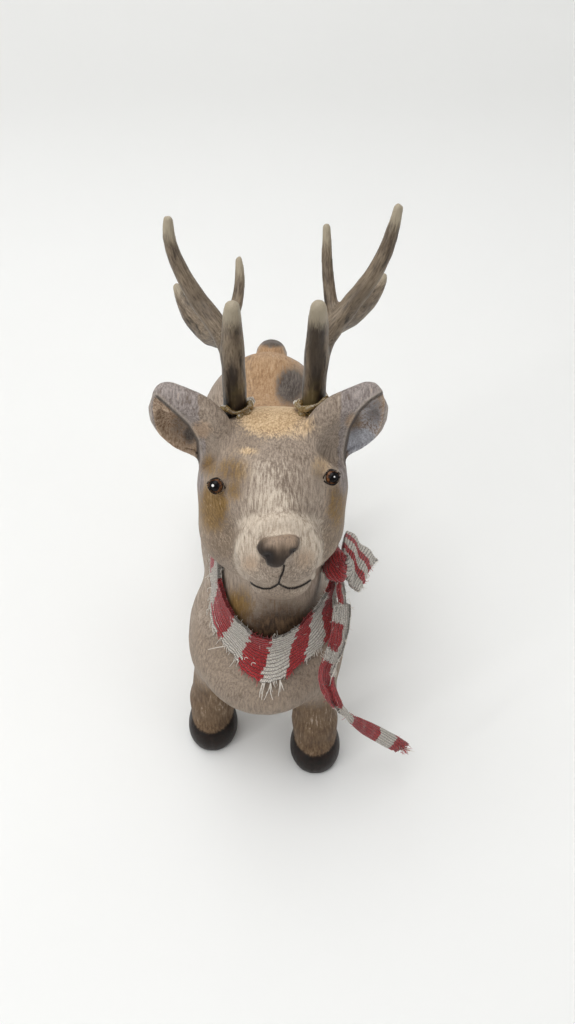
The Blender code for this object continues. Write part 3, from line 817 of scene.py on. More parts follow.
@dataclass
class Eye:
    """One set-in eye between two modelled lids."""

    side: Side
    spot: tuple
    outward: tuple
    gaze: tuple
    inner: tuple
    # Direction of the painted glint dot from the eye's middle, and its size.
    glint_dot: tuple
    ball: float = 2.75
    lid: float = 0.5
    half_width: float = 62.0
    half_height: float = 47.0

    def axes(self) -> np.ndarray:
        """Find the eye's own directions.

        Returns:
            Its outward, forward and upward directions as rows.
        """
        outward = unit(np.array(self.outward))
        slant = np.array(self.inner)
        forward = unit(slant - outward * (slant @ outward))
        upward = np.cross(outward, forward)
        upward = upward if upward[2] > 0.0 else -upward
        return np.stack([outward, forward, upward])

    def off_lids(self, points: np.ndarray) -> np.ndarray:
        """Measure how far points are outside the opening between the lids.

        Args:
            points: The body's vertices.

        Returns:
            One distance in millimetres for each point, below zero in the opening.
        """
        local = (points - np.array(self.spot)) @ self.axes().T
        ahead = np.degrees(np.arctan2(local[:, 1], local[:, 0]))
        up = np.degrees(np.arctan2(local[:, 2], local[:, 0]))
        share = np.abs(ahead) / self.half_width
        lid = self.half_height * np.maximum(1.0 - share**2, 0.0) ** 0.7
        beyond = np.maximum(share - 1.0, 0.0) * self.half_width
        return (
            np.hypot(np.abs(up) - lid, beyond) * np.where(np.abs(up) < lid, -1.0, 1.0)
        ) * math.radians(1.0) * self.ball

    def sink(self, points: np.ndarray) -> np.ndarray:
        """Shape the lids around the ball.

        Args:
            points: The body's vertices.

        Returns:
            The vertices with the opening pressed in and the lids raised.
        """
        away = points - np.array(self.spot)
        reach = np.linalg.norm(away, axis=1)
        facing = away @ self.axes()[0]
        near = (reach < 6.5) & (facing > -1.5)
        off = self.off_lids(points)
        spread = np.maximum(off, reach - self.ball - self.lid)
        lid = self.ball + self.lid + 0.10 * np.cos(off * 4.2)
        goal = np.where(off < 0.0, self.ball - 0.7, lid)
        fade = 1.0 - eased(np.maximum(off, 0.0), 0.8, 2.4)
        fade = np.where(near & (spread < 3.2), fade, 0.0) * (1.0 - eased(reach, 4.2, 6.2))
        scale = 1.0 + fade * (goal / np.maximum(reach, 0.5) - 1.0)
        return np.array(self.spot) + away * scale[:, None]

    def build(self, material: bpy.types.Material) -> bpy.types.Object:
        """Make the ball that shows between the lids, with its painted rings and a painted glint dot where a
        lamp's reflection would show.

        Args:
            material: The eye's paint.

        Returns:
            The dressed eye.
        """
        bpy.ops.object.select_all(action="DESELECT")
        bpy.ops.mesh.primitive_ico_sphere_add(subdivisions=5, radius=self.ball * MM)
        piece = bpy.context.object
        piece.name = "eye_" + self.side.value
        raw = spots(piece) + FIGURE_SPOT
        look = unit(np.array(self.gaze))
        facing = unit(raw) @ look
        raw = raw + unit(raw) * (0.16 * eased(facing, 0.80, 0.95))[:, None]
        place(piece, raw + np.array(self.spot))
        note(piece, "gaze", np.arccos(np.clip(facing, -1.0, 1.0)) / math.radians(58.0))
        # The painted glint dot sits where a lamp's reflection would show.
        aside = unit(raw) - unit(np.array(self.glint_dot[:3]))
        note(piece, "glint_dot", self.glint_dot[3] - self.ball * np.linalg.norm(aside, axis=1))
        return finish_piece(piece, material)


@dataclass
class Coat:
    """The cast body with its modelled face, ears and hooves, and its painted patches."""

    voxel: float = 1.2
    rounds: int = 6
    coronet: float = 13.2
    coronet_slope: float = 0.12
    nose_scale: float = 3.47
    ear_scale: float = 3.2
    ear_facing: tuple = (0.0, -0.76, 0.65)
    no_ear: float = 30.0
    middle: float = 3.0
    nose: tuple = (
        (256.1, 547.0), (259.0, 541.5), (262.7, 538.0), (272.7, 536.7), (287.6, 534.2), (295.4, 534.6),
        (299.6, 538.0), (300.2, 542.5), (298.4, 548.5), (291.7, 554.5), (286.3, 559.5), (283.7, 565.5),
        (278.0, 567.6), (272.0, 567.4), (267.0, 565.0), (265.0, 559.5), (258.6, 553.0),
    )
    mouth: tuple = (
        (250.0, 582.5), (256.5, 586.6), (263.5, 588.8), (270.0, 588.6), (275.0, 586.2), (278.6, 583.6),
        (282.5, 586.0), (288.0, 588.3), (294.5, 588.2), (301.0, 586.0), (306.5, 583.0), (310.5, 580.2),
    )
    muzzle: tuple = (
        (236.0, 557.0), (240.0, 541.0), (252.0, 529.0), (279.0, 521.0), (304.0, 527.0), (316.0, 541.0),
        (320.0, 556.0), (314.0, 574.0), (301.0, 588.0), (279.0, 596.0), (258.0, 589.0), (243.0, 575.0),
    )
    cleft: tuple = ((284.2, 565.5), (283.4, 571.0), (280.6, 577.0), (278.6, 583.6))
    right_cup: tuple = (
        (156.5, 396.0), (174.0, 411.5), (188.0, 425.0), (197.5, 441.0), (198.5, 462.0), (186.0, 459.5),
        (170.0, 450.5), (157.0, 431.0), (152.5, 408.0),
    )
    left_cup: tuple = (
        (383.5, 392.5), (371.0, 400.0), (359.5, 411.0), (349.5, 429.0), (345.0, 451.0), (346.0, 465.0),
        (357.0, 458.5), (370.5, 446.0), (381.0, 427.0), (385.0, 404.0),
    )
    feet: tuple = ((19.6, -53.0), (-24.2, -42.5), (20.0, 58.0), (-21.5, 66.0))

    def build(self, eyes: list) -> bpy.types.Object:
        """Make the body from its solid, finer towards the face, and model the relief.

        Args:
            eyes: The two eyes, whose lids are part of the body.

        Returns:
            The body, not dressed yet.
        """
        piece = remeshed_copy("body", "body_coat", self.voxel, self.rounds)
        centres = face_centres(piece)
        split_faces(
            piece, (centres[:, 1] < -38.0) & (centres[:, 2] > 114.0) & (np.abs(centres[:, 0] - 3.5) < 27.0)
        )
        centres = face_centres(piece)
        beside = np.abs(centres[:, 0] - self.middle) > 22.0
        split_faces(piece, beside & (centres[:, 2] > 136.0) & (centres[:, 1] < -18.0))
        centres = face_centres(piece)
        fine = np.linalg.norm(
            (centres - np.array((5.3, -68.0, 131.0))) / np.array((14.5, 13.0, 16.0)), axis=1
        ) < 1.0
        fine &= centres[:, 1] < -59.0
        for eye in eyes:
            fine |= np.linalg.norm(centres - np.array(eye.spot), axis=1) < 5.4
        split_faces(piece, fine)
        apply_modifier(piece, "SMOOTH", factor=0.5, iterations=3)
        points = spots(piece)
        points = self.model_muzzle(piece, points)
        points = self.model_ears(piece, points)
        points = self.model_hooves(piece, points)
        for eye in eyes:
            points = eye.sink(points)
        points[:, 2] = np.maximum(points[:, 2], 0.0)
        place(piece, points)
        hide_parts("body")
        return piece

    def muzzle_edge(self, sheet: np.ndarray) -> np.ndarray:
        """Measure how far points of the drawing are outside the round edge of the muzzle.

        Args:
            sheet: Points of the drawing.

        Returns:
            One distance for each point, below zero inside the edge.
        """
        ring = [(*corner, 0.0) for corner in self.muzzle + self.muzzle[:3]]
        smooth = smooth_curve(ring, 6 * len(ring))[:, :2]
        return outline_distance(sheet, [tuple(corner) for corner in smooth[6:-12]])

    def front(self, points: np.ndarray) -> np.ndarray:
        """Return 1 on the lower face, where the nose and mouth are, and 0 elsewhere."""
        return eased(-points[:, 1], 57.0, 61.0) * eased(points[:, 2], 114.0, 117.0)

    def model_muzzle(self, piece: bpy.types.Object, points: np.ndarray) -> np.ndarray:
        """Model the nose pad, the nostrils, the cleft and the smiling mouth.

        Args:
            piece: The body.
            points: Its vertices.

        Returns:
            The vertices with the relief of the muzzle.
        """
        facing = normals(piece)
        sheet = drawn(points)
        front = self.front(points)
        off_nose = outline_distance(sheet, list(self.nose)) / self.nose_scale
        mouth = line_distance(sheet, list(self.mouth)) / self.nose_scale
        cleft = line_distance(sheet, list(self.cleft)) / self.nose_scale
        lift = 0.55 * eased(-off_nose, -0.25, 0.55) - 0.25 * np.exp(-((off_nose - 0.55) / 0.45) ** 2)
        for across, down, wide, tall, deep in (
            (267.5, 556.5, 1.5, 1.15, 1.15), (294.6, 551.0, 1.35, 0.95, 0.95)
        ):
            away = (sheet - np.array((across, down))) / self.nose_scale / np.array((wide, tall))
            lift -= deep * np.exp(-np.sum(away * away, axis=1))
        lift -= 0.75 * np.exp(-((mouth / 0.42) ** 2)) + 0.55 * np.exp(-((cleft / 0.40) ** 2))
        lift += 0.30 * np.exp(-(((mouth - 1.7) / 1.0) ** 2))
        rim = self.muzzle_edge(sheet)
        upper = eased(-sheet[:, 1], -560.0, -535.0) * eased(-points[:, 1], 50.0, 56.0)
        ridge = 0.75 * np.exp(-((rim / 7.0) ** 2)) - 0.35 * np.exp(-(((rim - 13.0) / 6.0) ** 2))
        return points + facing * (lift * front + ridge * upper)[:, None]

    def ear_cup(self, points: np.ndarray, facing: np.ndarray) -> np.ndarray:
        """Return how far points are outside the open cups of the ears, in millimetres.

        Args:
            points: The body's vertices.
            facing: The direction that each vertex faces.

        Returns:
            A distance for each vertex, below zero in a cup, and 30 away from the ears.
        """
        sheet = drawn(points)
        away = np.full(len(points), self.no_ear)
        toward = facing @ unit(np.array(self.ear_facing))
        ear = (np.abs(points[:, 0] - self.middle) > 21.0) & (points[:, 2] > 134.0)
        ear &= (toward > -0.05) & (points[:, 1] < -22.0)
        for cup in (self.right_cup, self.left_cup):
            ring = [(*corner, 0.0) for corner in cup + cup[:3]]
            smooth = smooth_curve(ring, 5 * len(ring))[:, :2]
            rim = outline_distance(sheet, [tuple(corner) for corner in smooth[5:-10]])
            away = np.minimum(away, rim / self.ear_scale)
        return np.where(ear, away, self.no_ear)

    def fold_distance(self, sheet: np.ndarray) -> np.ndarray:
        """Return how far points of the drawing are from the folded edge of an ear, in millimetres."""
        folds = (list(self.right_cup[:5]), list(self.left_cup[:6]))
        return np.minimum(line_distance(sheet, folds[0]), line_distance(sheet, folds[1])) / self.ear_scale

    def model_ears(self, piece: bpy.types.Object, points: np.ndarray) -> np.ndarray:
        """Deepen the ear cups under their folds and round their rims.

        Args:
            piece: The body.
            points: Its vertices.

        Returns:
            The vertices with the relief of the ears.
        """
        facing = normals(piece)
        off = self.ear_cup(points, facing)
        lift = -1.9 * eased(-off, -0.1, 1.7) * (1.0 - eased(self.fold_distance(drawn(points)), 2.5, 9.0))
        lift += 0.16 * np.exp(-(((off - 0.6) / 0.9) ** 2))
        lift *= eased(facing @ unit(np.array(self.ear_facing)), 0.0, 0.35)
        return points + facing * lift[:, None]

    def model_hooves(self, piece: bpy.types.Object, points: np.ndarray) -> np.ndarray:
        """Cut the coronet and the cleft between the toes of each hoof.

        Args:
            piece: The body.
            points: Its vertices.

        Returns:
            The vertices with the relief of the hooves.
        """
        facing = normals(piece)
        lift = np.zeros(len(points))
        low = 1.0 - eased(points[:, 2], 15.0, 20.0)
        for x, y in self.feet:
            here = low * (np.hypot(points[:, 0] - x, points[:, 1] - y) < 16.0)
            level = self.coronet + self.coronet_slope * (points[:, 1] - y)
            lift -= here * 0.40 * np.exp(-(((points[:, 2] - level - 0.35) / 0.7) ** 2))
            toe = np.exp(-(((points[:, 0] - x) / 0.75) ** 2)) * eased(y - points[:, 1], 2.0, 6.0)
            lift -= here * 0.55 * toe * (1.0 - eased(points[:, 2], self.coronet - 4.0, self.coronet))
        lift *= eased(points[:, 2], 0.2, 1.2)
        return points + facing * lift[:, None]

    def dress(self, piece: bpy.types.Object, eyes: list, material: bpy.types.Material) -> bpy.types.Object:
        """Keep the painted patches on the body and dress it.

        Args:
            piece: The modelled body.
            eyes: The two eyes, for their dark lids.
            material: The coat's paint.

        Returns:
            The dressed body.
        """
        points = spots(piece)
        facing = normals(piece)
        sheet = drawn(points)
        x, y, z = points.T
        head = eased(z, 103.0, 109.0) * eased(-y, 6.0, 12.0)
        seen = head * eased(-facing[:, 1] + 0.9 * facing[:, 2], -0.15, 0.35)
        skull = seen * (1.0 - eased(np.abs(x - 3.2), 24.0, 28.0))
        neck = (1.0 - head) * eased(z, 74.0, 80.0) * eased(-y, 36.0, 44.0)
        legs = 1.0 - eased(z, 38.0, 56.0)
        rear = (1.0 - head) * (1.0 - eased(-y, -8.0, 8.0))
        top = rear * eased(facing[:, 2], 0.20, 0.75)
        off_cup = self.ear_cup(points, facing)
        cup = 1.0 - eased(off_cup, -0.5, 0.3)
        note(piece, "lie_face", head * eased(-y + 0.4 * (z - 135.0), 20.0, 40.0))
        note(
            piece,
            "lie_body",
            (1.0 - legs) * (1.0 - head) * (1.0 - neck) * (1.0 - eased(-facing[:, 1], 0.25, 0.6)),
        )
        note(piece, "tan", skull * np.maximum.reduce([
            blot(sheet, (272.0, 417.0), (32.0, 19.0), 0.6),
            0.6 * blot(sheet, (300.0, 424.0), (16.0, 14.0), 0.7),
            0.62 * blot(sheet, (248.0, 451.0), (9.0, 4.0), 0.9),
            0.42 * blot(sheet, (322.0, 463.0), (10.0, 10.0), 0.8),
        ]))
        note(piece, "rust", skull * np.maximum.reduce([
            0.92 * blot(sheet, (214.0, 506.0), (14.5, 24.0), 0.6),
            0.55 * blot(sheet, (231.0, 471.0), (17.0, 14.0), 0.8),
            0.62 * blot(sheet, (233.0, 490.0), (9.0, 12.0), 0.8),
            0.60 * blot(sheet, (209.0, 466.0), (9.0, 12.0), 0.8),
            0.72 * blot(sheet, (336.0, 505.0), (9.5, 22.0), 0.7),
            0.40 * blot(sheet, (320.0, 468.0), (9.0, 12.0), 0.8),
        ]) + neck * 0.85 * blot(sheet, (239.0, 608.0), (14.0, 20.0), 0.8)
             + cup * (x < 0.0) * 0.62 * blot(sheet, (188.0, 452.0), (10.0, 9.0), 0.8))
        note(piece, "cream", skull * np.maximum.reduce([
            blot(sheet, (279.0, 526.0), (38.0, 15.0), 0.6),
            0.70 * blot(sheet, (276.0, 502.0), (25.0, 15.0), 0.8),
            0.20 * blot(sheet, (281.0, 590.0), (32.0, 7.0), 0.7),
            0.45 * blot(sheet, (272.0, 476.0), (28.0, 14.0), 0.9),
            0.95 * blot(sheet, (249.0, 550.0), (13.0, 20.0), 0.7),
            0.95 * blot(sheet, (309.0, 549.0), (13.0, 20.0), 0.7),
            0.22 * blot(sheet, (262.0, 572.0), (14.0, 9.0), 0.8),
            0.26 * blot(sheet, (298.0, 572.0), (14.0, 9.0), 0.8),
        ]))
        note(piece, "jaw", head * np.maximum.reduce([
            0.80 * blot(sheet, (221.0, 538.0), (20.0, 26.0), 0.7),
            0.70 * blot(sheet, (331.0, 540.0), (16.0, 28.0), 0.7),
            0.60 * blot(sheet, (276.0, 602.0), (50.0, 12.0), 0.7),
            0.45 * blot(sheet, (243.0, 440.0), (26.0, 20.0), 0.9),
            0.70 * blot(sheet, (232.0, 474.0), (19.0, 16.0), 0.8),
        ]) + 0.42 * (1.0 - head) * (1.0 - neck) * eased(-y, 30.0, 50.0) * eased(z, 38.0, 50.0))
        # Painted highlight along the muzzle rim where the surface turns away, plus a paler line along the
        # ear-cup rims.
        rim = np.abs(self.muzzle_edge(sheet) - 1.0)
        lip = np.exp(-(((off_cup - 0.7) / 0.7) ** 2))
        rim_highlight = skull * (1.0 - eased(rim, 0.5, 4.5)) * eased(np.abs(sheet[:, 0] - 279.0), 22.0, 36.0)
        note(piece, "rim_highlight", 0.66 * rim_highlight + 0.50 * lip)
        note(piece, "blush", skull * eased(-y, 50.0, 56.0) * np.maximum(
            0.60 * blot(sheet, (250.0, 562.0), (11.0, 11.0), 0.8),
            0.62 * blot(sheet, (306.0, 559.0), (11.0, 13.0), 0.8)
        ) + (1.0 - cup) * 0.75 * head * np.maximum(
            blot(sheet, (201.0, 430.0), (11.0, 9.0), 0.6), blot(sheet, (352.0, 422.0), (7.0, 9.0), 0.6)))
        ears = (np.abs(x - self.middle) > 21.0) * eased(z, 136.0, 140.0)
        note(
            piece,
            "mauve",
            np.maximum(0.80 * ears, 0.15 * (1.0 - head) * eased(-y, 30.0, 50.0) * eased(z, 38.0, 50.0)),
        )
        note(piece, "hollow", cup)
        # Painted highlight: bluish white light in the lower part of the left ear cup.
        note(piece, "ear_cup_highlight", cup * (x > 0.0) * np.maximum(
            1.1 * blot(sheet, (361.0, 444.0), (17.0, 17.0), 0.5),
            0.62 * blot(sheet, (371.0, 416.0), (13.0, 24.0), 0.6)))
        # Painted shade: the line along each ear fold, the dark spots deep in the ear cups and the darkening
        # where the neck turns away from the front. The cracked patch in the left ear cup, the dark patch on
        # the back and the dark tail are the coat's own dark paint; the other blots darken the face beside the
        # left eye and the right flank.
        crease = ears * np.exp(-((self.fold_distance(sheet) / 0.55) ** 2)) * (off_cup < 0.6)
        note(piece, "shade_and_dark_patches", np.maximum.reduce([
            0.95 * crease,
            cup * (x < 0.0) * 0.95 * blot(sheet, (190.0, 434.0), (8.0, 10.0), 0.8),
            cup * (x < 0.0) * 0.62 * blot(sheet, (180.0, 424.0), (11.0, 14.0), 0.9),
            cup * (x > 0.0) * 0.50 * blot(sheet, (374.0, 410.0), (10.0, 16.0), 0.8),
            skull * 0.30 * blot(sheet, (320.0, 474.0), (8.0, 18.0), 0.9),
            cup * (x > 0.0) * 0.62 * blot(sheet, (354.0, 420.0), (8.0, 16.0), 0.8),
            1.05 * top * blot(sheet, (291.0, 386.0), (14.0, 18.0), 0.7),
            rear * 0.22 * blot(points, (-22.0, 50.0, 104.0), (11.0, 26.0, 20.0), 0.6),
            (y > 60.0) * 0.85 * blot(sheet, (273.0, 341.0), (16.0, 7.0), 0.5),
            (y > 60.0) * 0.60 * blot(points, (0.5, 93.0, 100.0), (9.0, 6.0, 14.0), 0.5),
            0.40 * neck * (1.0 - eased(-facing[:, 1], -0.1, 0.3)),
        ]))
        note(piece, "saddle", np.maximum(
            top * blot(sheet, (270.0, 370.0), (27.0, 34.0), 0.6),
            0.75 * top * (1.0 - eased(np.abs(x + 1.0), 10.0, 22.0))))
        note(
            piece,
            "bark",
            neck * eased(-facing[:, 1], 0.0, 0.5) * 1.15 * blot(sheet, (285.0, 642.0), (50.0, 36.0), 0.85),
        )
        shin = eased(-facing[:, 1], -0.2, 0.5) * (1.0 - eased(z, 34.0, 52.0))
        note(piece, "leg", np.maximum(0.95 * shin, 0.70 * legs))
        note(piece, "cracked", np.maximum.reduce([
            (1.0 - cup) * ears * blot(sheet, (201.0, 429.0), (9.0, 8.0), 0.4),
            (1.0 - cup) * ears * blot(sheet, (352.0, 420.0), (8.0, 11.0), 0.4),
            0.55 * cup,
            skull * 0.6 * blot(sheet, (250.0, 452.0), (8.0, 4.0), 0.4),
        ]))
        above = np.full(len(points), 40.0)
        for foot_x, foot_y in self.feet:
            near = np.hypot(x - foot_x, y - foot_y) < 18.0
            above = np.where(near, z - self.coronet - self.coronet_slope * (y - foot_y), above)
        note(piece, "above_hoof", above)
        front = self.front(points) > 0.3
        off_nose = outline_distance(sheet, list(self.nose)) / self.nose_scale
        note(piece, "off_nose", np.where(front, off_nose, 5.0))
        # Painted light and shade on the nose pad: lighter towards the top, darker at the left and right ends,
        # along one streak and in the nostrils.
        holes = (
            blot(sheet, (269.0, 556.5), (7.0, 8.0), 0.7) + 0.7 * blot(sheet, (259.5, 547.0), (4.5, 6.5), 0.6)
                 + blot(sheet, (294.5, 551.5), (5.5, 4.0), 0.6))
        light = 0.95 * eased(-sheet[:, 1], -560.0, -538.0) * (
            0.40 + 0.60 * eased(sheet[:, 0], 261.0, 275.0)
        ) + 0.10
        light *= 1.0 - 0.6 * eased(sheet[:, 0], 293.0, 299.0) - 0.35 * blot(
            sheet, (283.0, 548.0), (3.5, 7.0), 0.8
        )
        note(piece, "nose_light_and_shade", light * (1.0 - np.clip(holes, 0.0, 1.0) * 0.95))
        ink = np.minimum(line_distance(sheet, list(self.mouth)), line_distance(sheet, list(self.cleft)))
        ink = np.where(front, ink / self.nose_scale, 5.0)
        for eye in eyes:
            away = np.linalg.norm(points - np.array(eye.spot), axis=1)
            rim_ink = np.abs(eye.off_lids(points) - 0.05) * 0.9 + 1.2 * eased(away, 3.2, 4.0)
            ink = np.where(away < 5.2, np.minimum(ink, rim_ink), ink)
        note(piece, "off_ink", ink)
        # Painted shade in the hole beside the foot of the right antler.
        note(piece, "hole_shade", blot(points, (-13.5, -27.5, 156.5), (3.4, 3.4, 3.4), 0.5))
        return finish_piece(piece, material)


@dataclass
class Antler:
    """One antler with its grain running up the trunk and out along each tine."""

    side: Side
    lines: tuple
    stains: tuple = ()
    # Middle of the painted shade in the hole at the antler's foot; far below the figure for the left antler.
    hole_shade: tuple = (0.0, 0.0, -50.0)
    voxel: float = 0.42
    rounds: int = 14
    swell: float = 0.10
    dent: float = 0.05

    def build(self) -> bpy.types.Object:
        """Make the antler from its solid, with shallow dents along it.

        Returns:
            The antler, not dressed yet.
        """
        node = "antler_" + self.side.value
        piece = remeshed_copy(node, "antler_horn_" + self.side.value, self.voxel, self.rounds)
        points = spots(piece)
        swell = self.swell + self.dent * np.sin(points[:, 2] * 0.42 + 1.1 * points[:, 0])
        place(piece, points + normals(piece) * swell[:, None])
        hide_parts("antler_" + self.side.value)
        return piece

    def dress(self, piece: bpy.types.Object, material: bpy.types.Material) -> bpy.types.Object:
        """Keep the grain, the rubbed tips and the painted shade of the hole at its foot on the antler and
        dress it.

        Args:
            piece: The modelled antler.
            material: The antler paint.

        Returns:
            The dressed antler.
        """
        points = spots(piece)
        best = np.full(len(points), FAR_OFF)
        grain = np.zeros((len(points), 3))
        tip = np.zeros(len(points))
        for number, waypoints in enumerate(self.lines):
            curve = smooth_curve(list(waypoints), 8 * len(waypoints))
            run = np.concatenate([[0.0], np.cumsum(np.linalg.norm(np.diff(curve, axis=0), axis=1))])
            for index in range(len(curve) - 1):
                start, along = curve[index], curve[index + 1] - curve[index]
                share = np.clip((points - start) @ along / (along @ along), 0.0, 1.0)
                away = points - start - share[:, None] * along
                reach = np.linalg.norm(away, axis=1)
                closer = reach < best
                best = np.where(closer, reach, best)
                length = run[index] + share * np.linalg.norm(along)
                local = np.stack([away[:, 0], away[:, 1] + 0.6 * away[:, 2], length + 31.0 * number], axis=1)
                grain = np.where(closer[:, None], local, grain)
                tip = np.where(closer, 1.0 - eased(run[-1] - length, 1.0, 13.0), tip)
        note(piece, "grain", grain)
        note(piece, "tip", tip)
        note(piece, "low", 1.0 - eased(points[:, 2], 158.0, 192.0))
        note(piece, "hole_shade", blot(points, self.hole_shade, (3.2, 3.2, 5.0), 0.5))
        stained = np.zeros(len(points))
        for spot, size, strength in self.stains:
            stained = np.maximum(stained, strength * blot(drawn(points), spot, size, 0.6))
        note(piece, "stained", stained)
        return finish_piece(piece, material)


@dataclass
class Glue:
    """The hot glue around an antler's foot, run together into gobs."""

    side: Side
    gobs: tuple
    voxel: float = 0.35
    shrink: float = 0.42
    blend_voxel: float = 0.26

    def build(self, material: bpy.types.Material) -> bpy.types.Object:
        """Make the glue from its solid and the gobs that stand on it.

        Args:
            material: The glue.

        Returns:
            The dressed glue.
        """
        node = "glue_" + self.side.value
        piece = remeshed_copy(node, "glue_gobs_" + self.side.value, self.voxel, 2)
        place(piece, spots(piece) - self.shrink * normals(piece))
        parts = [piece]
        for x, y, z, wide, tall in self.gobs:
            bpy.ops.object.select_all(action="DESELECT")
            spot = (np.array((x, y, z)) + FIGURE_SPOT) * MM
            bpy.ops.mesh.primitive_ico_sphere_add(
                subdivisions=3, radius=MM, location=tuple(spot), scale=(wide, wide, tall)
            )
            parts.append(bpy.context.object)
        pick(piece)
        for part in parts:
            part.select_set(True)
        bpy.ops.object.join()
        piece.data.remesh_voxel_size = self.blend_voxel * MM
        bpy.ops.object.voxel_remesh()
        apply_modifier(piece, "SMOOTH", factor=0.5, iterations=5)
        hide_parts(node)
        return finish_piece(piece, material)


# ---------------------------------------------------------------- the scarf


@dataclass
class Scarf:
    """One strip of coarse cloth, wound around the neck, knotted, with two loose ends."""

    width: float = 18.0
    thickness: float = 1.1
    gap: float = 0.9
    solid_thickness: float = 1.8
    yarns: int = 15
    neck: tuple = (2.0, -33.0)
    chest: float = 70.0
    nape: float = 100.0
    nape_rise: float = 0.4
    dip: float = 0.03
    knot_angle: float = 285.0
    knot_slack: float = 2.9
    knot: tuple = (25.5, -38.5, 100.5)
    knot_tilt: float = 38.0
    knot_radii: tuple = (4.3, 5.5, 5.8)
    knot_run: float = 34.0
    flap_length: float = 16.5
    flap_reds: tuple = ((7.2, 9.8), (13.2, 16.4))
    flap_slant: float = 0.36
    band_grid: tuple = (321, 76)
    coarse_grid: tuple = (97, 10)
    knot_grid: tuple = (90, 46)
    flap_grid: tuple = (60, 76)
    tail_grid: tuple = (230, 46)
    band_rib: float = 0.50
    knot_rib: float = 0.45
    flap_rib: float = 0.28
    tail_rib: float = 0.22
    no_red: float = -9.0
    stripes: tuple = (
        (35.4, 66.0, 42.0, 62.0), (-1.0, 17.3, 6.3, 23.0), (-42.0, -26.5, -24.0, -9.4),
        (-76.0, -58.0, -58.0, -40.0), (-104.0, -90.0, -92.0, -76.0), (88.0, 108.0, 86.0, 106.0),
        (132.0, 152.0, 134.0, 152.0), (176.0, 196.0, 176.0, 194.0), (218.0, 236.0, 218.0, 234.0),
    )
    tail: tuple = (
        (26.0, -41.0, 98.0, 1.4), (27.0, -48.0, 90.5, 1.7), (25.5, -57.0, 82.5, 1.5),
        (21.5, -66.0, 73.5, 1.1), (25.0, -69.5, 63.0, 0.68), (31.5, -69.0, 51.0, 0.62),
        (39.5, -66.5, 39.0, 0.90), (55.5, -63.0, 18.5, 1.1),
    )
    tail_reds: tuple = ((2.5, 10.0), (17.0, 26.5), (31.0, 50.0), (60.5, 81.0), (92.0, 120.0))

    def body_tree(self) -> BVHTree:
        """Make the body's solid ready for rays and nearest points.

        Returns:
            The body as a tree, in millimetres.
        """
        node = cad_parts["body"]
        corners = [tuple(point) for point in spots(node)]
        return BVHTree.FromPolygons(corners, [tuple(face.vertices) for face in node.data.polygons])

    def band_point(self, tree: BVHTree, angle: float, edge: float, lift: float) -> tuple:
        """Find a point of the band.

        Args:
            tree: The body.
            angle: The angle around the neck from the front, in radians.
            edge: 0 at the upper edge and 1 at the lower edge.
            lift: How far the point stands off the neck.

        Returns:
            The point and the direction out of the neck there.
        """
        behind = (1.0 - math.cos(angle)) / 2.0
        upper = 1.0 - edge
        low = self.chest + 0.64 * self.width * upper
        high = self.nape + 0.89 * self.width * upper
        bow = 0.6 + 0.15 * upper
        share = ((behind + self.dip) ** bow - self.dip**bow) / ((1.0 + self.dip) ** bow - self.dip**bow)
        start = Vector((*self.neck, low + (high - low) * share))
        along = Vector((-math.sin(angle), -math.cos(angle), self.nape_rise * behind)).normalized()
        away = (math.degrees(angle) % 360.0 - self.knot_angle) / 34.0
        stand = self.gap + self.knot_slack * math.exp(-away * away) + lift
        far = start + along * 75.0
        hit, _, _, _ = tree.ray_cast(far, -along, 75.0)
        reach = (hit - start).length if hit is not None else 0.0
        point = start + along * reach
        for _ in range(40):
            near, normal, _, apart = tree.find_nearest(point)
            inside = (point - near).dot(normal) < 0.0
            apart = -apart if inside else apart
            if apart >= stand - 0.02:
                break
            point = point + along * max(0.5 * (stand - apart), 0.05)
        return np.array(point), np.array(normal)

    def sheet(
        self, name: str, columns: int, rows: int, points: np.ndarray, run: np.ndarray, closed: bool
    ) -> bpy.types.Object:
        """Lay a fine grid on the given points as one sheet of cloth.

        Args:
            name: The piece's name.
            columns: Points along the cloth.
            rows: Points across it.
            points: The grid, by column and row.
            run: The length along the cloth at each column.
            closed: True where the last column meets the first.

        Returns:
            The sheet, without its thickness.
        """
        bpy.ops.object.select_all(action="DESELECT")
        bpy.ops.mesh.primitive_grid_add(x_subdivisions=columns - 1, y_subdivisions=rows - 1, size=2.0)
        piece = bpy.context.object
        piece.name = name
        raw = (spots(piece) + FIGURE_SPOT) * MM
        column = np.rint((raw[:, 0] + 1.0) / 2.0 * (columns - 1)).astype(int)
        row = np.rint((raw[:, 1] + 1.0) / 2.0 * (rows - 1)).astype(int)
        place(piece, points[column, row])
        layer = piece.data.uv_layers.active
        layer.name = "weave"
        flat = np.empty(len(layer.data) * 2)
        layer.data.foreach_get("uv", flat)
        flat = flat.reshape(-1, 2)
        at = np.clip(np.rint(flat[:, 0] * (columns - 1)).astype(int), 0, columns - 1)
        flat[:, 0] = run[at]
        flat[:, 1] = (1.0 - flat[:, 1]) * self.yarns
        layer.data.foreach_set("uv", flat.ravel())
        note(piece, "column", column.astype(float))
        note(piece, "row", row / (rows - 1.0))
        if closed:
            pick(piece)
            bpy.ops.object.mode_set(mode="EDIT")
            bpy.ops.mesh.select_all(action="SELECT")
            bpy.ops.mesh.remove_doubles(threshold=0.02 * MM)
            bpy.ops.object.mode_set(mode="OBJECT")
        return piece

    def kept(self, piece: bpy.types.Object, name: str) -> np.ndarray:
        """Read what a piece keeps for each vertex under a name.

        Args:
            piece: The piece.
            name: The name.

        Returns:
            One number for each vertex.
        """
        values = np.empty(len(piece.data.vertices))
        piece.data.attributes[name].data.foreach_get("value", values)
        return values

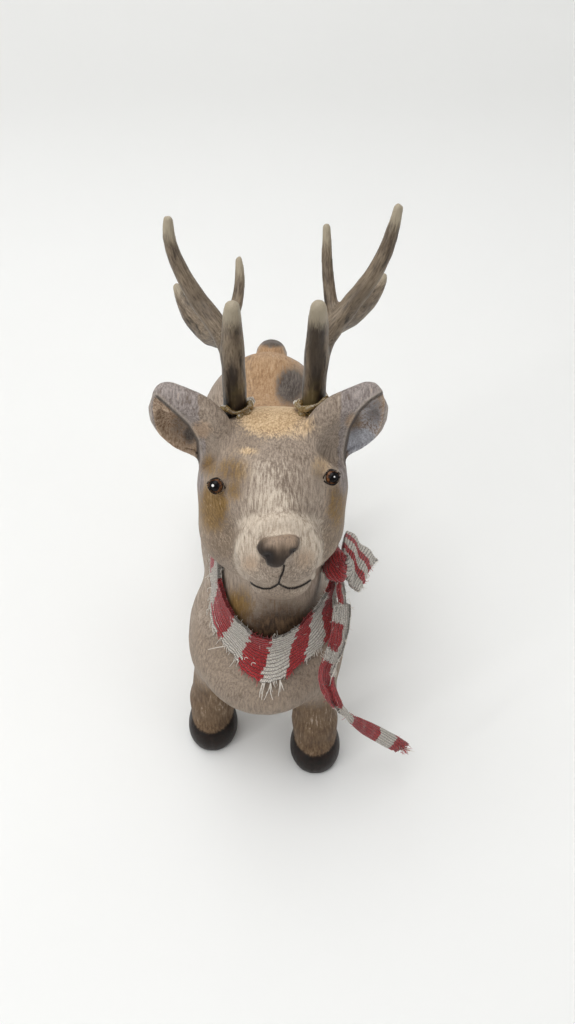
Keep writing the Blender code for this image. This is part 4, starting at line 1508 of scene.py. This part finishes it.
    def buckled(self, grid: np.ndarray, outward: np.ndarray, rows: int) -> np.ndarray:
        """Let a grid of cloth buckle a little between its yarns.

        Args:
            grid: The grid, by column and row.
            outward: The direction out of the cloth.
            rows: Points across it.

        Returns:
            The buckled grid.
        """
        yarn = np.linspace(0.0, self.yarns, rows)
        steps = np.arange(grid.shape[0])[:, None]
        buckle = 0.22 * np.sin(0.21 * steps + 0.5 * yarn) * np.sin(0.047 * steps + 1.3)
        return grid + outward * buckle[:, :, None]

    def thicken(
        self, piece: bpy.types.Object, thickness: float, offset: float, rib: float, yarns: float
    ) -> None:
        """Give a sheet of cloth its thickness and raise a round rib for each yarn.

        Args:
            piece: The sheet.
            thickness: Its thickness in millimetres.
            offset: -1 to keep the sheet outside, 0 to keep it in the middle.
            rib: How high the ribs stand.
            yarns: How many yarns lie side by side across it.
        """
        count = len(piece.data.vertices)
        apply_modifier(piece, "SOLIDIFY", thickness=thickness * MM, offset=offset)
        self.turn_out(piece)
        points = spots(piece)
        lift = rib * np.abs(np.sin(math.pi * yarns * self.kept(piece, "row"))) ** 0.7
        if offset < 0.0:
            lift[count:] = 0.0
        place(piece, points + normals(piece) * lift[:, None])

    def build_band(self, tree: BVHTree) -> bpy.types.Object:
        """Make the ring of cloth around the neck.

        Args:
            tree: The body.

        Returns:
            The ring, with its stripes kept on it.
        """
        columns, rows = self.band_grid
        coarse = np.linspace(0.0, 2.0 * math.pi, self.coarse_grid[0])
        levels = np.linspace(0.0, 1.0, self.coarse_grid[1])
        grid = np.zeros((*self.coarse_grid, 3))
        out = np.zeros((*self.coarse_grid, 3))
        for i, angle in enumerate(coarse):
            for j, level in enumerate(levels):
                grid[i, j], out[i, j] = self.band_point(tree, angle, level, 0.45 * self.solid_thickness)
        grid[-1], out[-1] = grid[0], out[0]
        grid = self.evened(grid, 2)
        fine_angle = np.linspace(0.0, 2.0 * math.pi, columns)
        fine_level = np.linspace(0.0, 1.0, rows)
        fine = self.resampled(grid, coarse, levels, fine_angle, fine_level)
        facing = unit(self.resampled(out, coarse, levels, fine_angle, fine_level))
        fray = 0.35 * np.sin(fine_angle * 23.0) + 0.25 * np.sin(fine_angle * 57.0 + 1.0)
        fray += 0.2 * np.sin(fine_angle * 101.0)
        across = unit(fine[:, -1] - fine[:, 0])
        share = np.clip((fine_level - 0.8) / 0.2, 0.0, 1.0)[None, :, None] * 0.7 * fray[:, None, None]
        upper = np.clip((0.2 - fine_level) / 0.2, 0.0, 1.0)[None, :, None]
        upper = upper * 0.5 * np.roll(fray, 40)[:, None, None]
        fray[-1] = fray[0]
        fine = fine + across[:, None, :] * (share + upper)
        fine = self.buckled(fine, facing, rows)
        fine[-1] = fine[0]
        run = np.concatenate([[0.0], np.cumsum(np.linalg.norm(np.diff(fine[:, rows // 2], axis=0), axis=1))])
        piece = self.sheet("scarf_band", columns, rows, fine[:, ::-1], run, True)
        angle = np.degrees(fine_angle)[
            np.clip(np.rint(self.kept(piece, "column")).astype(int), 0, columns - 1)
        ]
        edge = 1.0 - self.kept(piece, "row")
        red = np.full(len(angle), self.no_red)
        for top_low, top_high, bottom_low, bottom_high in self.stripes:
            low = top_low + (bottom_low - top_low) * edge
            high = top_high + (bottom_high - top_high) * edge
            for turn in (-360.0, 0.0):
                red = np.maximum(red, np.minimum(angle + turn - low, high - angle - turn) * 0.42)
        hem = (0.90 - edge) * 12.0
        red = np.where((angle > 46.0) & (angle < 180.0), np.minimum(red, hem), red)
        note(piece, "red", red)
        note(piece, "faded", eased(np.where(angle < 180.0, angle, 0.0), 40.0, 55.0) * eased(edge, 0.45, 0.7))
        note(piece, "ragged", np.ones(len(angle)))
        self.thicken(piece, self.thickness, -1.0, self.band_rib, self.yarns)
        return piece

    def evened(self, grid: np.ndarray, rounds: int) -> np.ndarray:
        """Smooth a closed grid along its length and across it.

        Args:
            grid: The grid, by column and row.
            rounds: How many times it is smoothed.

        Returns:
            The smoothed grid.
        """
        for _ in range(rounds):
            ring = grid[:-1]
            ring = 0.5 * ring + 0.25 * (np.roll(ring, 1, axis=0) + np.roll(ring, -1, axis=0))
            middle = 0.5 * ring[:, 1:-1] + 0.25 * (ring[:, :-2] + ring[:, 2:])
            ring = np.concatenate([ring[:, :1], middle, ring[:, -1:]], axis=1)
            grid = np.concatenate([ring, ring[:1]], axis=0)
        return grid

    def resampled(
        self, grid: np.ndarray, xs: np.ndarray, ys: np.ndarray, new_xs: np.ndarray, new_ys: np.ndarray
    ) -> np.ndarray:
        """Read a grid of vectors at finer steps both ways.

        Args:
            grid: The grid, by column and row.
            xs: Where its columns stand.
            ys: Where its rows stand.
            new_xs: Where the new columns stand.
            new_ys: Where the new rows stand.

        Returns:
            The finer grid.
        """
        half = np.stack(
            [[np.interp(new_xs, xs, grid[:, j, k]) for j in range(len(ys))] for k in range(3)], axis=-1
        )
        full = np.stack(
            [[np.interp(new_ys, ys, half[:, i, k]) for i in range(len(new_xs))] for k in range(3)], axis=-1
        )
        return full

    def turn_out(self, piece: bpy.types.Object) -> None:
        """Make every face of a closed piece of cloth point outwards.

        Args:
            piece: The piece.
        """
        pick(piece)
        bpy.ops.object.mode_set(mode="EDIT")
        bpy.ops.mesh.select_all(action="SELECT")
        bpy.ops.mesh.normals_make_consistent(inside=False)
        bpy.ops.object.mode_set(mode="OBJECT")

    def build_knot(self) -> bpy.types.Object:
        """Make the knot as a short roll of cloth wrapped round itself.

        Returns:
            The knot.
        """
        columns, rows = self.knot_grid
        around = np.linspace(0.0, 2.0 * math.pi, columns)
        over = np.linspace(0.06, math.pi - 0.06, rows)
        cx, _, cz = self.knot
        theta, phi = np.meshgrid(around, over, indexing="ij")
        swell = 1.0 + 0.13 * np.sin(2.0 * theta + 3.0 * phi) + 0.05 * np.sin(5.0 * theta - 3.0 * phi)
        direction = np.stack([np.sin(phi) * np.cos(theta), np.sin(phi) * np.sin(theta), np.cos(phi)], axis=-1)
        tilt = math.radians(self.knot_tilt)
        turned = np.stack([
            direction[..., 0] * math.cos(tilt) + direction[..., 2] * math.sin(tilt), direction[..., 1],
            direction[..., 2] * math.cos(tilt) - direction[..., 0] * math.sin(tilt),
        ], axis=-1)
        grid = np.array(self.knot) + turned * np.array(self.knot_radii) * swell[..., None]
        grid[-1] = grid[0]
        run = np.linspace(0.0, self.knot_run, columns)
        piece = self.sheet("scarf_knot", columns, rows, grid[:, ::-1], run, True)
        points = spots(piece)
        note(
            piece,
            "red",
            np.minimum(points[:, 2] - cz + 1.4 + 0.8 * np.sin(1.1 * points[:, 1]), cx + 3.0 - points[:, 0]),
        )
        note(piece, "faded", np.zeros(len(points)))
        note(piece, "ragged", np.full(len(points), 0.4))
        self.thicken(piece, self.thickness, -1.0, self.knot_rib, 0.7 * self.yarns)
        return piece

    def build_flap(self) -> bpy.types.Object:
        """Make the short end that stands out from the knot.

        Returns:
            The short end.
        """
        columns, rows = self.flap_grid
        t = np.linspace(-0.25, 1.0, columns)
        cx, cy, cz = self.knot
        level = cz - 5.0 - 1.5 * t + 2.0 * np.sin(math.pi * np.maximum(t, 0.0))
        centre = np.stack([cx + 5.5 + 5.0 * t, cy + 0.5 + 0.97 * self.flap_length * t, level], axis=-1)
        side = unit(np.stack([0.6 + 0.05 * t, np.full(columns, -0.1), -0.8 + 0.1 * t], axis=-1))
        spread = np.linspace(0.45, 1.0, columns) ** 0.6 * self.width
        across = np.linspace(-0.5, 0.5, rows)
        grid = centre[:, None, :] + side[:, None, :] * (across[None, :, None] * spread[:, None, None])
        facing = unit(np.cross(np.gradient(centre, axis=0), side))
        wave = 0.55 * np.sin(4.0 * across[None, :] * math.pi + 2.5 * t[:, None])
        grid = grid + facing[:, None, :] * wave[..., None]
        ragged = 0.6 * np.sin(np.arange(columns) * 0.9) + 0.4 * np.sin(np.arange(columns) * 2.3)
        grid = grid + side[:, None, :] * (
            np.clip((across - 0.3) / 0.2, 0.0, 1.0)[None, :] * ragged[:, None] * 0.6
        )[..., None]
        run = np.concatenate([[0.0], np.cumsum(np.linalg.norm(np.diff(centre, axis=0), axis=1))])
        grid = self.buckled(grid, facing[:, None, :], rows)
        piece = self.sheet("scarf_flap", columns, rows, grid, run, False)
        along = run[np.rint(self.kept(piece, "column")).astype(int)]
        reds = np.full(len(along), self.no_red)
        slant = along + self.flap_slant * self.width * (self.kept(piece, "row") - 0.5)
        for low, high in self.flap_reds:
            reds = np.maximum(reds, np.minimum(slant - low, high - slant))
        note(piece, "red", reds)
        note(piece, "faded", 0.4 * (along < 7.0))
        note(piece, "ragged", np.full(len(along), 0.3))
        self.thicken(piece, 0.9 * self.thickness, 0.0, self.flap_rib, self.yarns)
        return piece

    def tail_frame(self, tree: BVHTree, count: int) -> tuple:
        """Find the long end's middle line.

        Args:
            tree: The body.
            count: How many points it has.

        Returns:
            The points, their widths, and a side and a facing direction at each.
        """
        path = smooth_curve(list(self.tail), count)
        centre = path[:, :3].copy()
        out = np.zeros_like(centre)
        clearance = self.gap + 1.6 * self.solid_thickness
        for i, point in enumerate(centre):
            for _ in range(8):
                near, normal, _, apart = tree.find_nearest(Vector(point))
                away = np.array(Vector(point) - near)
                signed = math.copysign(apart, float(away @ np.array(normal)))
                direction = unit(away * (1.0 if signed > 0.0 else -1.0))
                point = point + direction * max(clearance - signed, 0.0)
                out[i] = direction
            centre[i] = point
        along = unit(np.gradient(centre, axis=0))
        first = unit(np.cross(along, out))
        second = unit(np.cross(along, first))
        turn = np.radians(11.0 * np.maximum(np.arange(count) * 44.0 / count - 22.0, 0.0))[:, None]
        side = first * np.cos(turn) + second * np.sin(turn)
        return centre, path[:, 3] * 5.0, side, unit(np.cross(along, side))

    def build_tail(self, tree: BVHTree) -> bpy.types.Object:
        """Make the long end as a strip that rolls in on itself and swings out.

        Args:
            tree: The body.

        Returns:
            The long end.
        """
        columns, rows = self.tail_grid
        centre, spread, side, facing = self.tail_frame(tree, columns)
        run = np.concatenate([[0.0], np.cumsum(np.linalg.norm(np.diff(centre, axis=0), axis=1))])
        curl = np.linspace(-1.0, 1.0, rows)
        rolled = 0.35 + 0.65 * eased(run, 24.0, 44.0)
        flat = curl[None, :] * spread[:, None] / 2.0
        round_x = np.sin(curl[None, :] * math.pi * 0.86) * spread[:, None] / 2.0
        round_y = (1.0 - np.cos(curl[None, :] * math.pi * 0.86)) * spread[:, None] * 0.20
        sideways = flat * (1.0 - rolled[:, None]) + round_x * rolled[:, None]
        lifted = round_y * rolled[:, None] - 0.15 * spread[:, None] * rolled[:, None]
        wobble = 0.30 * np.sin(run * 0.9)[:, None] * np.cos(2.2 * curl)[None, :]
        grid = centre[:, None, :] + side[:, None, :] * sideways[..., None]
        grid = grid - facing[:, None, :] * (lifted + wobble)[..., None]
        notch = 6.0 * eased(run, run[-1] - 9.0, run[-1])[:, None] * (1.0 - np.abs(curl))[None, :]
        grid = grid - unit(np.gradient(centre, axis=0))[:, None, :] * notch[..., None]
        piece = self.sheet("scarf_tail", columns, rows, grid, run, False)
        at = run[np.rint(self.kept(piece, "column")).astype(int)]
        edge = self.kept(piece, "row")
        red = np.full(len(at), self.no_red)
        for low, high in self.tail_reds:
            slant = at + 1.5 * (edge - 0.5)
            red = np.maximum(red, np.minimum(slant - low, high - slant))
        border = (edge - 0.36) * 9.0
        red = np.where(at < 36.0, np.minimum(red, border), red)
        note(piece, "red", red)
        note(piece, "faded", 0.5 * eased(at, 30.0, 36.0) * (1.0 - eased(at, 37.0, 40.0)))
        note(piece, "ragged", np.full(len(at), 0.8))
        self.thicken(piece, 0.75 * self.thickness, 0.0, self.tail_rib, 0.6 * self.yarns)
        return piece

    def build(self, tree: BVHTree) -> bpy.types.Object:
        """Make the scarf and join its lengths into one cloth.

        Args:
            tree: The body that the scarf lies on.

        Returns:
            The scarf.
        """
        band = self.build_band(tree)
        parts = [band, self.build_knot(), self.build_flap(), self.build_tail(tree)]
        pick(band)
        for part in parts:
            part.select_set(True)
        bpy.ops.object.join()
        band.name = "scarf_cloth"
        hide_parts("scarf")
        return band


@dataclass
class Threads:
    """Frayed ends, stray hairs and loops that stand off the scarf."""

    seed: int = 7
    radius: float = 0.13
    sides: int = 3

    def strand(self, mesh: bmesh.types.BMesh, path: np.ndarray, radius: float, red: float) -> None:
        """Lay one tapered thread along a path.

        Args:
            mesh: The mesh that holds all threads.
            path: Its points in millimetres in the figure's frame.
            radius: Its half thickness at the root.
            red: Above zero for a red thread.
        """
        layer = mesh.verts.layers.float["red"]
        along = unit(np.gradient(path, axis=0))
        helper = np.array((0.31, 0.87, 0.38))
        first = unit(np.cross(along, helper))
        second = unit(np.cross(along, first))
        rings = []
        for i, point in enumerate(path):
            size = radius * (1.0 - 0.55 * i / (len(path) - 1))
            ring = []
            for k in range(self.sides):
                angle = 2.0 * math.pi * k / self.sides
                corner = point + size * (first[i] * math.cos(angle) + second[i] * math.sin(angle))
                vertex = mesh.verts.new(Vector((corner + FIGURE_SPOT) * MM))
                vertex[layer] = red
                ring.append(vertex)
            rings.append(ring)
        for lower, upper in zip(rings[:-1], rings[1:]):
            for k in range(self.sides):
                n = (k + 1) % self.sides
                mesh.faces.new((lower[k], lower[n], upper[n], upper[k]))
        mesh.faces.new(list(reversed(rings[0])))
        mesh.faces.new(rings[-1])

    def hair(
        self, rng: np.random.Generator, root: np.ndarray, direction: np.ndarray, length: float, droop: float
    ) -> np.ndarray:
        """Return the path of one wavy thread.

        Args:
            rng: The source of its waviness.
            root: Where it starts.
            direction: Where it sets off to.
            length: Its length in millimetres.
            droop: How much it sinks towards its end.

        Returns:
            Its points.
        """
        t = np.linspace(0.0, 1.0, 7)[:, None]
        bend = unit(rng.normal(size=3)) * rng.uniform(0.1, 0.4) * length
        path = root + direction * length * t + bend * t * t
        path[:, 2] -= droop * length * t[:, 0] ** 2
        return path

    def build(
        self, scarf: bpy.types.Object, tail_end: tuple, material: bpy.types.Material
    ) -> bpy.types.Object:
        """Make all loose threads.

        Args:
            scarf: The cloth that they grow from.
            tail_end: The place and direction of the long end's tip.
            material: The threads' finish.

        Returns:
            The dressed threads.
        """
        rng = np.random.default_rng(self.seed)
        mesh = bmesh.new()
        mesh.verts.layers.float.new("red")
        points = spots(scarf)
        facing = normals(scarf)
        red = np.empty(len(points))
        row = np.empty(len(points))
        scarf.data.attributes["red"].data.foreach_get("value", red)
        scarf.data.attributes["row"].data.foreach_get("value", row)
        sheet = drawn(points)
        on_band = (sheet[:, 0] < 336.0) & (points[:, 2] > 62.0) & (points[:, 0] < 27.0)
        lower = np.nonzero(on_band & (row < 0.001))[0]
        upper = np.nonzero(on_band & (row > 0.999))[0]
        for index in rng.choice(lower, 300, replace=False):
            length = rng.uniform(0.6, 1.7) if red[index] > 0.0 else rng.uniform(0.9, 2.6)
            down = unit(np.array((rng.normal(0.0, 0.35), -0.35, -1.0)) + 0.5 * facing[index])
            self.strand(mesh, self.hair(rng, points[index], down, length, 0.1), 1.2 * self.radius, red[index])
        for index in rng.choice(upper, 220, replace=False):
            up = unit(np.array((rng.normal(0.0, 0.5), -0.2, 0.9)) + 0.7 * facing[index])
            self.strand(
                mesh,
                self.hair(rng, points[index], up, rng.uniform(0.7, 2.3), 0.0),
                0.8 * self.radius,
                red[index],
            )
        skin = np.nonzero(points[:, 2] > 17.0)[0]
        for index in rng.choice(skin, 2600, replace=False):
            wild = unit(facing[index] * 0.35 + 0.8 * rng.normal(size=3))
            tone = red[index] if rng.random() < 0.8 else -1.0
            start = points[index] - 0.15 * facing[index]
            self.strand(
                mesh, self.hair(rng, start, wild, rng.uniform(0.5, 1.5), 0.0), 0.6 * self.radius, tone
            )
        trail = np.nonzero((points[:, 2] < 98.0) & (points[:, 0] > 21.0) & ((row < 0.03) | (row > 0.97)))[0]
        for index in rng.choice(trail, 620, replace=False):
            wild = unit(facing[index] * 0.5 + 0.7 * rng.normal(size=3))
            self.strand(
                mesh,
                self.hair(rng, points[index], wild, rng.uniform(0.7, 1.9), 0.0),
                self.radius,
                red[index],
            )
        for across, down, length, lean in (
            (262.0, 688.0, 6.2, -0.5), (265.5, 688.0, 6.6, -0.35), (272.0, 689.0, 6.4, -0.2),
            (275.0, 689.0, 7.2, -0.3), (281.5, 688.0, 6.6, -0.05), (283.0, 687.0, 4.4, 0.3),
        ):
            index = lower[np.argmin(np.hypot(sheet[lower, 0] - across, sheet[lower, 1] - down))]
            self.strand(
                mesh,
                self.hair(rng, points[index], unit(np.array((lean, -0.55, -1.0))), length, 0.05),
                1.9 * self.radius,
                -1.0,
            )
            self.strand(
                mesh,
                self.hair(rng, points[index], unit(np.array((lean + 0.2, -0.5, -1.0))), 0.7 * length, 0.05),
                1.4 * self.radius,
                -1.0,
            )
        left = lower[np.argmin(np.hypot(sheet[lower, 0] - 222.0, sheet[lower, 1] - 650.0))]
        self.strand(
            mesh,
            self.hair(rng, points[left], unit(np.array((-1.0, -0.35, 0.25))), 6.0, 0.02),
            1.7 * self.radius,
            -1.0,
        )
        flap = np.nonzero((points[:, 0] > 31.0) & (row < 0.001) & (points[:, 2] > 78.0))[0]
        for index in rng.choice(flap, min(90, len(flap)), replace=False):
            out = unit(np.array((0.62, rng.normal(0.0, 0.25), -0.75)))
            self.strand(
                mesh,
                self.hair(rng, points[index], out, rng.uniform(1.2, 3.2), 0.0),
                1.1 * self.radius,
                red[index],
            )
        spot, along = tail_end
        for number in range(46):
            sprawl = unit(along + 0.38 * rng.normal(size=3))
            start = spot - along * rng.uniform(0.0, 4.0) + rng.normal(size=3) * 0.9
            self.strand(
                mesh,
                self.hair(rng, start, sprawl, rng.uniform(1.5, 3.6), 0.0),
                1.2 * self.radius,
                1.0 if number % 4 else -1.0,
            )
        for x, y, z, size, tone in (
            (-19.5, -42.0, 92.0, 1.2, -1.0), (-19.5, -39.5, 95.5, 1.0, -1.0),
            (-20.0, -45.5, 84.5, 1.3, -1.0), (-4.0, -63.0, 76.5, 0.75, -1.0),
            (-6.5, -62.5, 79.0, 0.6, -1.0),
        ):
            t = np.linspace(0.2, 1.25 * math.pi, 12)
            loop = np.array((x, y, z)) + size * np.stack(
                [np.cos(t), 0.5 * np.sin(t) - 0.3, 0.6 * np.sin(t)], axis=1
            )
            self.strand(mesh, loop, 1.3 * self.radius, tone)
        data = bpy.data.meshes.new("scarf_threads")
        mesh.to_mesh(data)
        mesh.free()
        piece = bpy.data.objects.new("scarf_threads", data)
        bpy.context.scene.collection.objects.link(piece)
        return finish_piece(piece, material)


# ---------------------------------------------------------------- the stage


@dataclass
class Stage:
    """A pale sweep of paper, soft lights and the camera of the front view."""

    sweep: float = 0.40
    half_floor: float = 2.4
    wall: float = 1.4
    bend: float = 0.14
    lights: tuple = (
        ("top_softbox", (-0.20, -0.10, 1.15), (0.0, 0.0, 0.06), 0.95, 8.0),
        ("left_softbox", (-0.75, -0.75, 0.70), (0.0, -0.02, 0.09), 0.55, 1.6),
        ("right_fill", (0.85, -0.45, 0.45), (0.0, 0.0, 0.08), 0.70, 1.15),
        ("window_glint", (-0.79, -0.56, 0.48), (0.0, -0.05, 0.14), 0.10, 0.9),
    )
    sky: float = 0.40

    def build(self, material: bpy.types.Material) -> None:
        """Set up the paper, the lights, the surroundings and the camera.

        Args:
            material: The paper.
        """
        bpy.ops.object.select_all(action="DESELECT")
        bpy.ops.mesh.primitive_plane_add(size=2.0, location=(0.0, 0.0, 0.0))
        paper = bpy.context.object
        paper.name = "paper_sweep"
        half = self.half_floor
        corners = np.array(
            [(-half, -half, 0.0), (half, -half, 0.0), (-half, self.sweep, 0.0), (half, self.sweep, 0.0)]
        )
        paper.data.vertices.foreach_set("co", corners.ravel())
        paper.data.update()
        pick(paper)
        bpy.ops.object.mode_set(mode="EDIT")
        bpy.ops.mesh.select_mode(type="EDGE")
        bpy.ops.mesh.select_all(action="DESELECT")
        bpy.ops.object.mode_set(mode="OBJECT")
        for edge in paper.data.edges:
            ends = [paper.data.vertices[index].co.y for index in edge.vertices]
            edge.select = min(ends) > self.sweep - 0.01
        bpy.ops.object.mode_set(mode="EDIT")
        bpy.ops.mesh.extrude_region_move(TRANSFORM_OT_translate={"value": (0.0, 0.0, self.wall)})
        bpy.ops.object.mode_set(mode="OBJECT")
        apply_modifier(paper, "BEVEL", width=self.bend, segments=16, limit_method="ANGLE")
        bpy.ops.object.shade_smooth()
        paper.data.materials.append(material)
        for name, spot, aim, size, power in self.lights:
            data = bpy.data.lights.new(name, "AREA")
            data.shape = "SQUARE"
            data.size = size
            data.energy = power
            lamp = bpy.data.objects.new(name, data)
            bpy.context.scene.collection.objects.link(lamp)
            lamp.location = spot
            lamp.rotation_euler = (Vector(aim) - Vector(spot)).to_track_quat("-Z", "Y").to_euler()
        world = bpy.data.worlds.new("soft_surroundings")
        world.use_nodes = True
        world.node_tree.nodes["Background"].inputs["Color"].default_value = (0.98, 0.99, 1.0, 1.0)
        world.node_tree.nodes["Background"].inputs["Strength"].default_value = self.sky
        bpy.context.scene.world = world
        bpy.context.scene.view_settings.view_transform = "Standard"
        data = bpy.data.cameras.new("front_camera")
        data.lens = CAMERA_LENS
        data.sensor_width = SENSOR_WIDTH
        data.clip_start = 0.01
        camera = bpy.data.objects.new("front_camera", data)
        bpy.context.scene.collection.objects.link(camera)
        camera.location = tuple((CAMERA_SPOT + FIGURE_SPOT) * MM)
        camera.rotation_euler = (math.pi / 2.0 - CAMERA_PITCH, 0.0, 0.0)
        bpy.context.scene.camera = camera


LEFT_ANTLER = (
    ((16.1, -23.0, 152.0), (16.6, -25.0, 178.0), (16.7, -28.0, 189.0), (16.5, -31.0, 197.5)),
    (
        (19.8, -20.0, 181.8), (27.5, -14.0, 189.5), (33.6, -11.5, 197.5), (37.3, -10.0, 206.5),
        (39.0, -9.0, 216.5),
    ),
    ((22.0, -16.0, 184.0), (20.8, -11.0, 190.1), (19.8, -6.0, 198.2), (19.5, -2.0, 208.0)),
    ((22.0, -15.0, 182.5), (28.0, -5.0, 180.5), (34.4, 4.0, 181.0), (38.2, 9.5, 183.6), (40.8, 13.0, 187.6)),
)
RIGHT_ANTLER = (
    ((-8.6, -23.0, 152.0), (-8.2, -25.0, 178.0), (-7.8, -28.0, 189.0), (-7.3, -31.0, 197.5)),
    (
        (-11.8, -20.0, 183.0), (-19.0, -14.0, 190.8), (-23.9, -11.0, 199.5), (-25.8, -10.0, 206.5),
        (-25.8, -9.0, 213.0),
    ),
    ((-11.4, -16.0, 181.5), (-8.2, -9.5, 184.5), (-6.7, -4.0, 189.9), (-6.8, 0.0, 197.0)),
    (
        (-11.0, -17.0, 179.0), (-16.8, -7.0, 175.0), (-23.0, 1.5, 176.0), (-27.0, 8.0, 179.4),
        (-29.4, 12.0, 184.2),
    ),
)


def main() -> None:
    """Build and dress every piece of the figurine, then the stage."""
    logging.basicConfig(level=logging.INFO, format="%(name)s %(message)s")
    eyes = [
        Eye(
            Side.RIGHT, (-13.3, -48.8, 147.4), (-0.10, -0.82, 0.56), (-0.27, -0.79, 0.54),
            (1.0, -0.1, -0.22), (-0.36, -0.74, 0.57, 0.40),
        ),
        Eye(
            Side.LEFT, (21.2, -45.6, 148.0), (0.10, -0.82, 0.58), (0.40, -0.76, 0.52), (-1.0, -0.1, -0.34),
            (0.33, -0.73, 0.60, 0.24),
        ),
    ]
    coat = Coat()
    body = coat.build(eyes)
    coat.dress(body, eyes, CoatFinish().material())
    eye_paint = EyeFinish().material()
    for eye in eyes:
        eye.build(eye_paint)
    antler_paint = AntlerFinish().material()
    left_stains = (
        ((316.5, 350.0), (8.0, 46.0), 1.45), ((361.0, 296.0), (16.0, 18.0), 0.45),
        ((322.0, 262.0), (3.0, 22.0), 0.5),
    )
    right_stains = (
        ((233.0, 384.0), (7.0, 22.0), 1.0), ((236.0, 345.0), (5.0, 34.0), 0.5),
        ((200.0, 300.0), (14.0, 18.0), 0.4),
    )
    antlers = (
        Antler(Side.LEFT, LEFT_ANTLER, left_stains),
        Antler(Side.RIGHT, RIGHT_ANTLER, right_stains, (-12.6, -26.0, 158.0)),
    )
    for antler in antlers:
        antler.dress(antler.build(), antler_paint)
    hot_glue = GlueFinish().material()
    Glue(
        Side.LEFT,
        (
            (12.6, -27.2, 158.4, 1.5, 1.3), (15.6, -28.2, 158.2, 1.3, 1.2), (19.2, -27.0, 158.4, 1.2, 1.3),
            (11.8, -24.5, 160.0, 1.2, 1.9),
        ),
    ).build(hot_glue)
    Glue(
        Side.RIGHT,
        ((-4.8, -26.8, 158.4, 1.4, 1.3), (-3.8, -24.0, 159.2, 1.2, 2.0), (-7.0, -28.2, 157.8, 1.2, 1.1)),
    ).build(hot_glue)
    scarf = Scarf()
    tree = scarf.body_tree()
    wool = WoolFinish()
    cloth = finish_piece(scarf.build(tree), wool.cloth())
    centre, _, _, _ = scarf.tail_frame(tree, 60)
    threads = Threads().build(cloth, (centre[-1], unit(centre[-1] - centre[-4])), wool.thread())
    Stage().build(StageFinish().material())


if __name__ == "__main__":
    main()
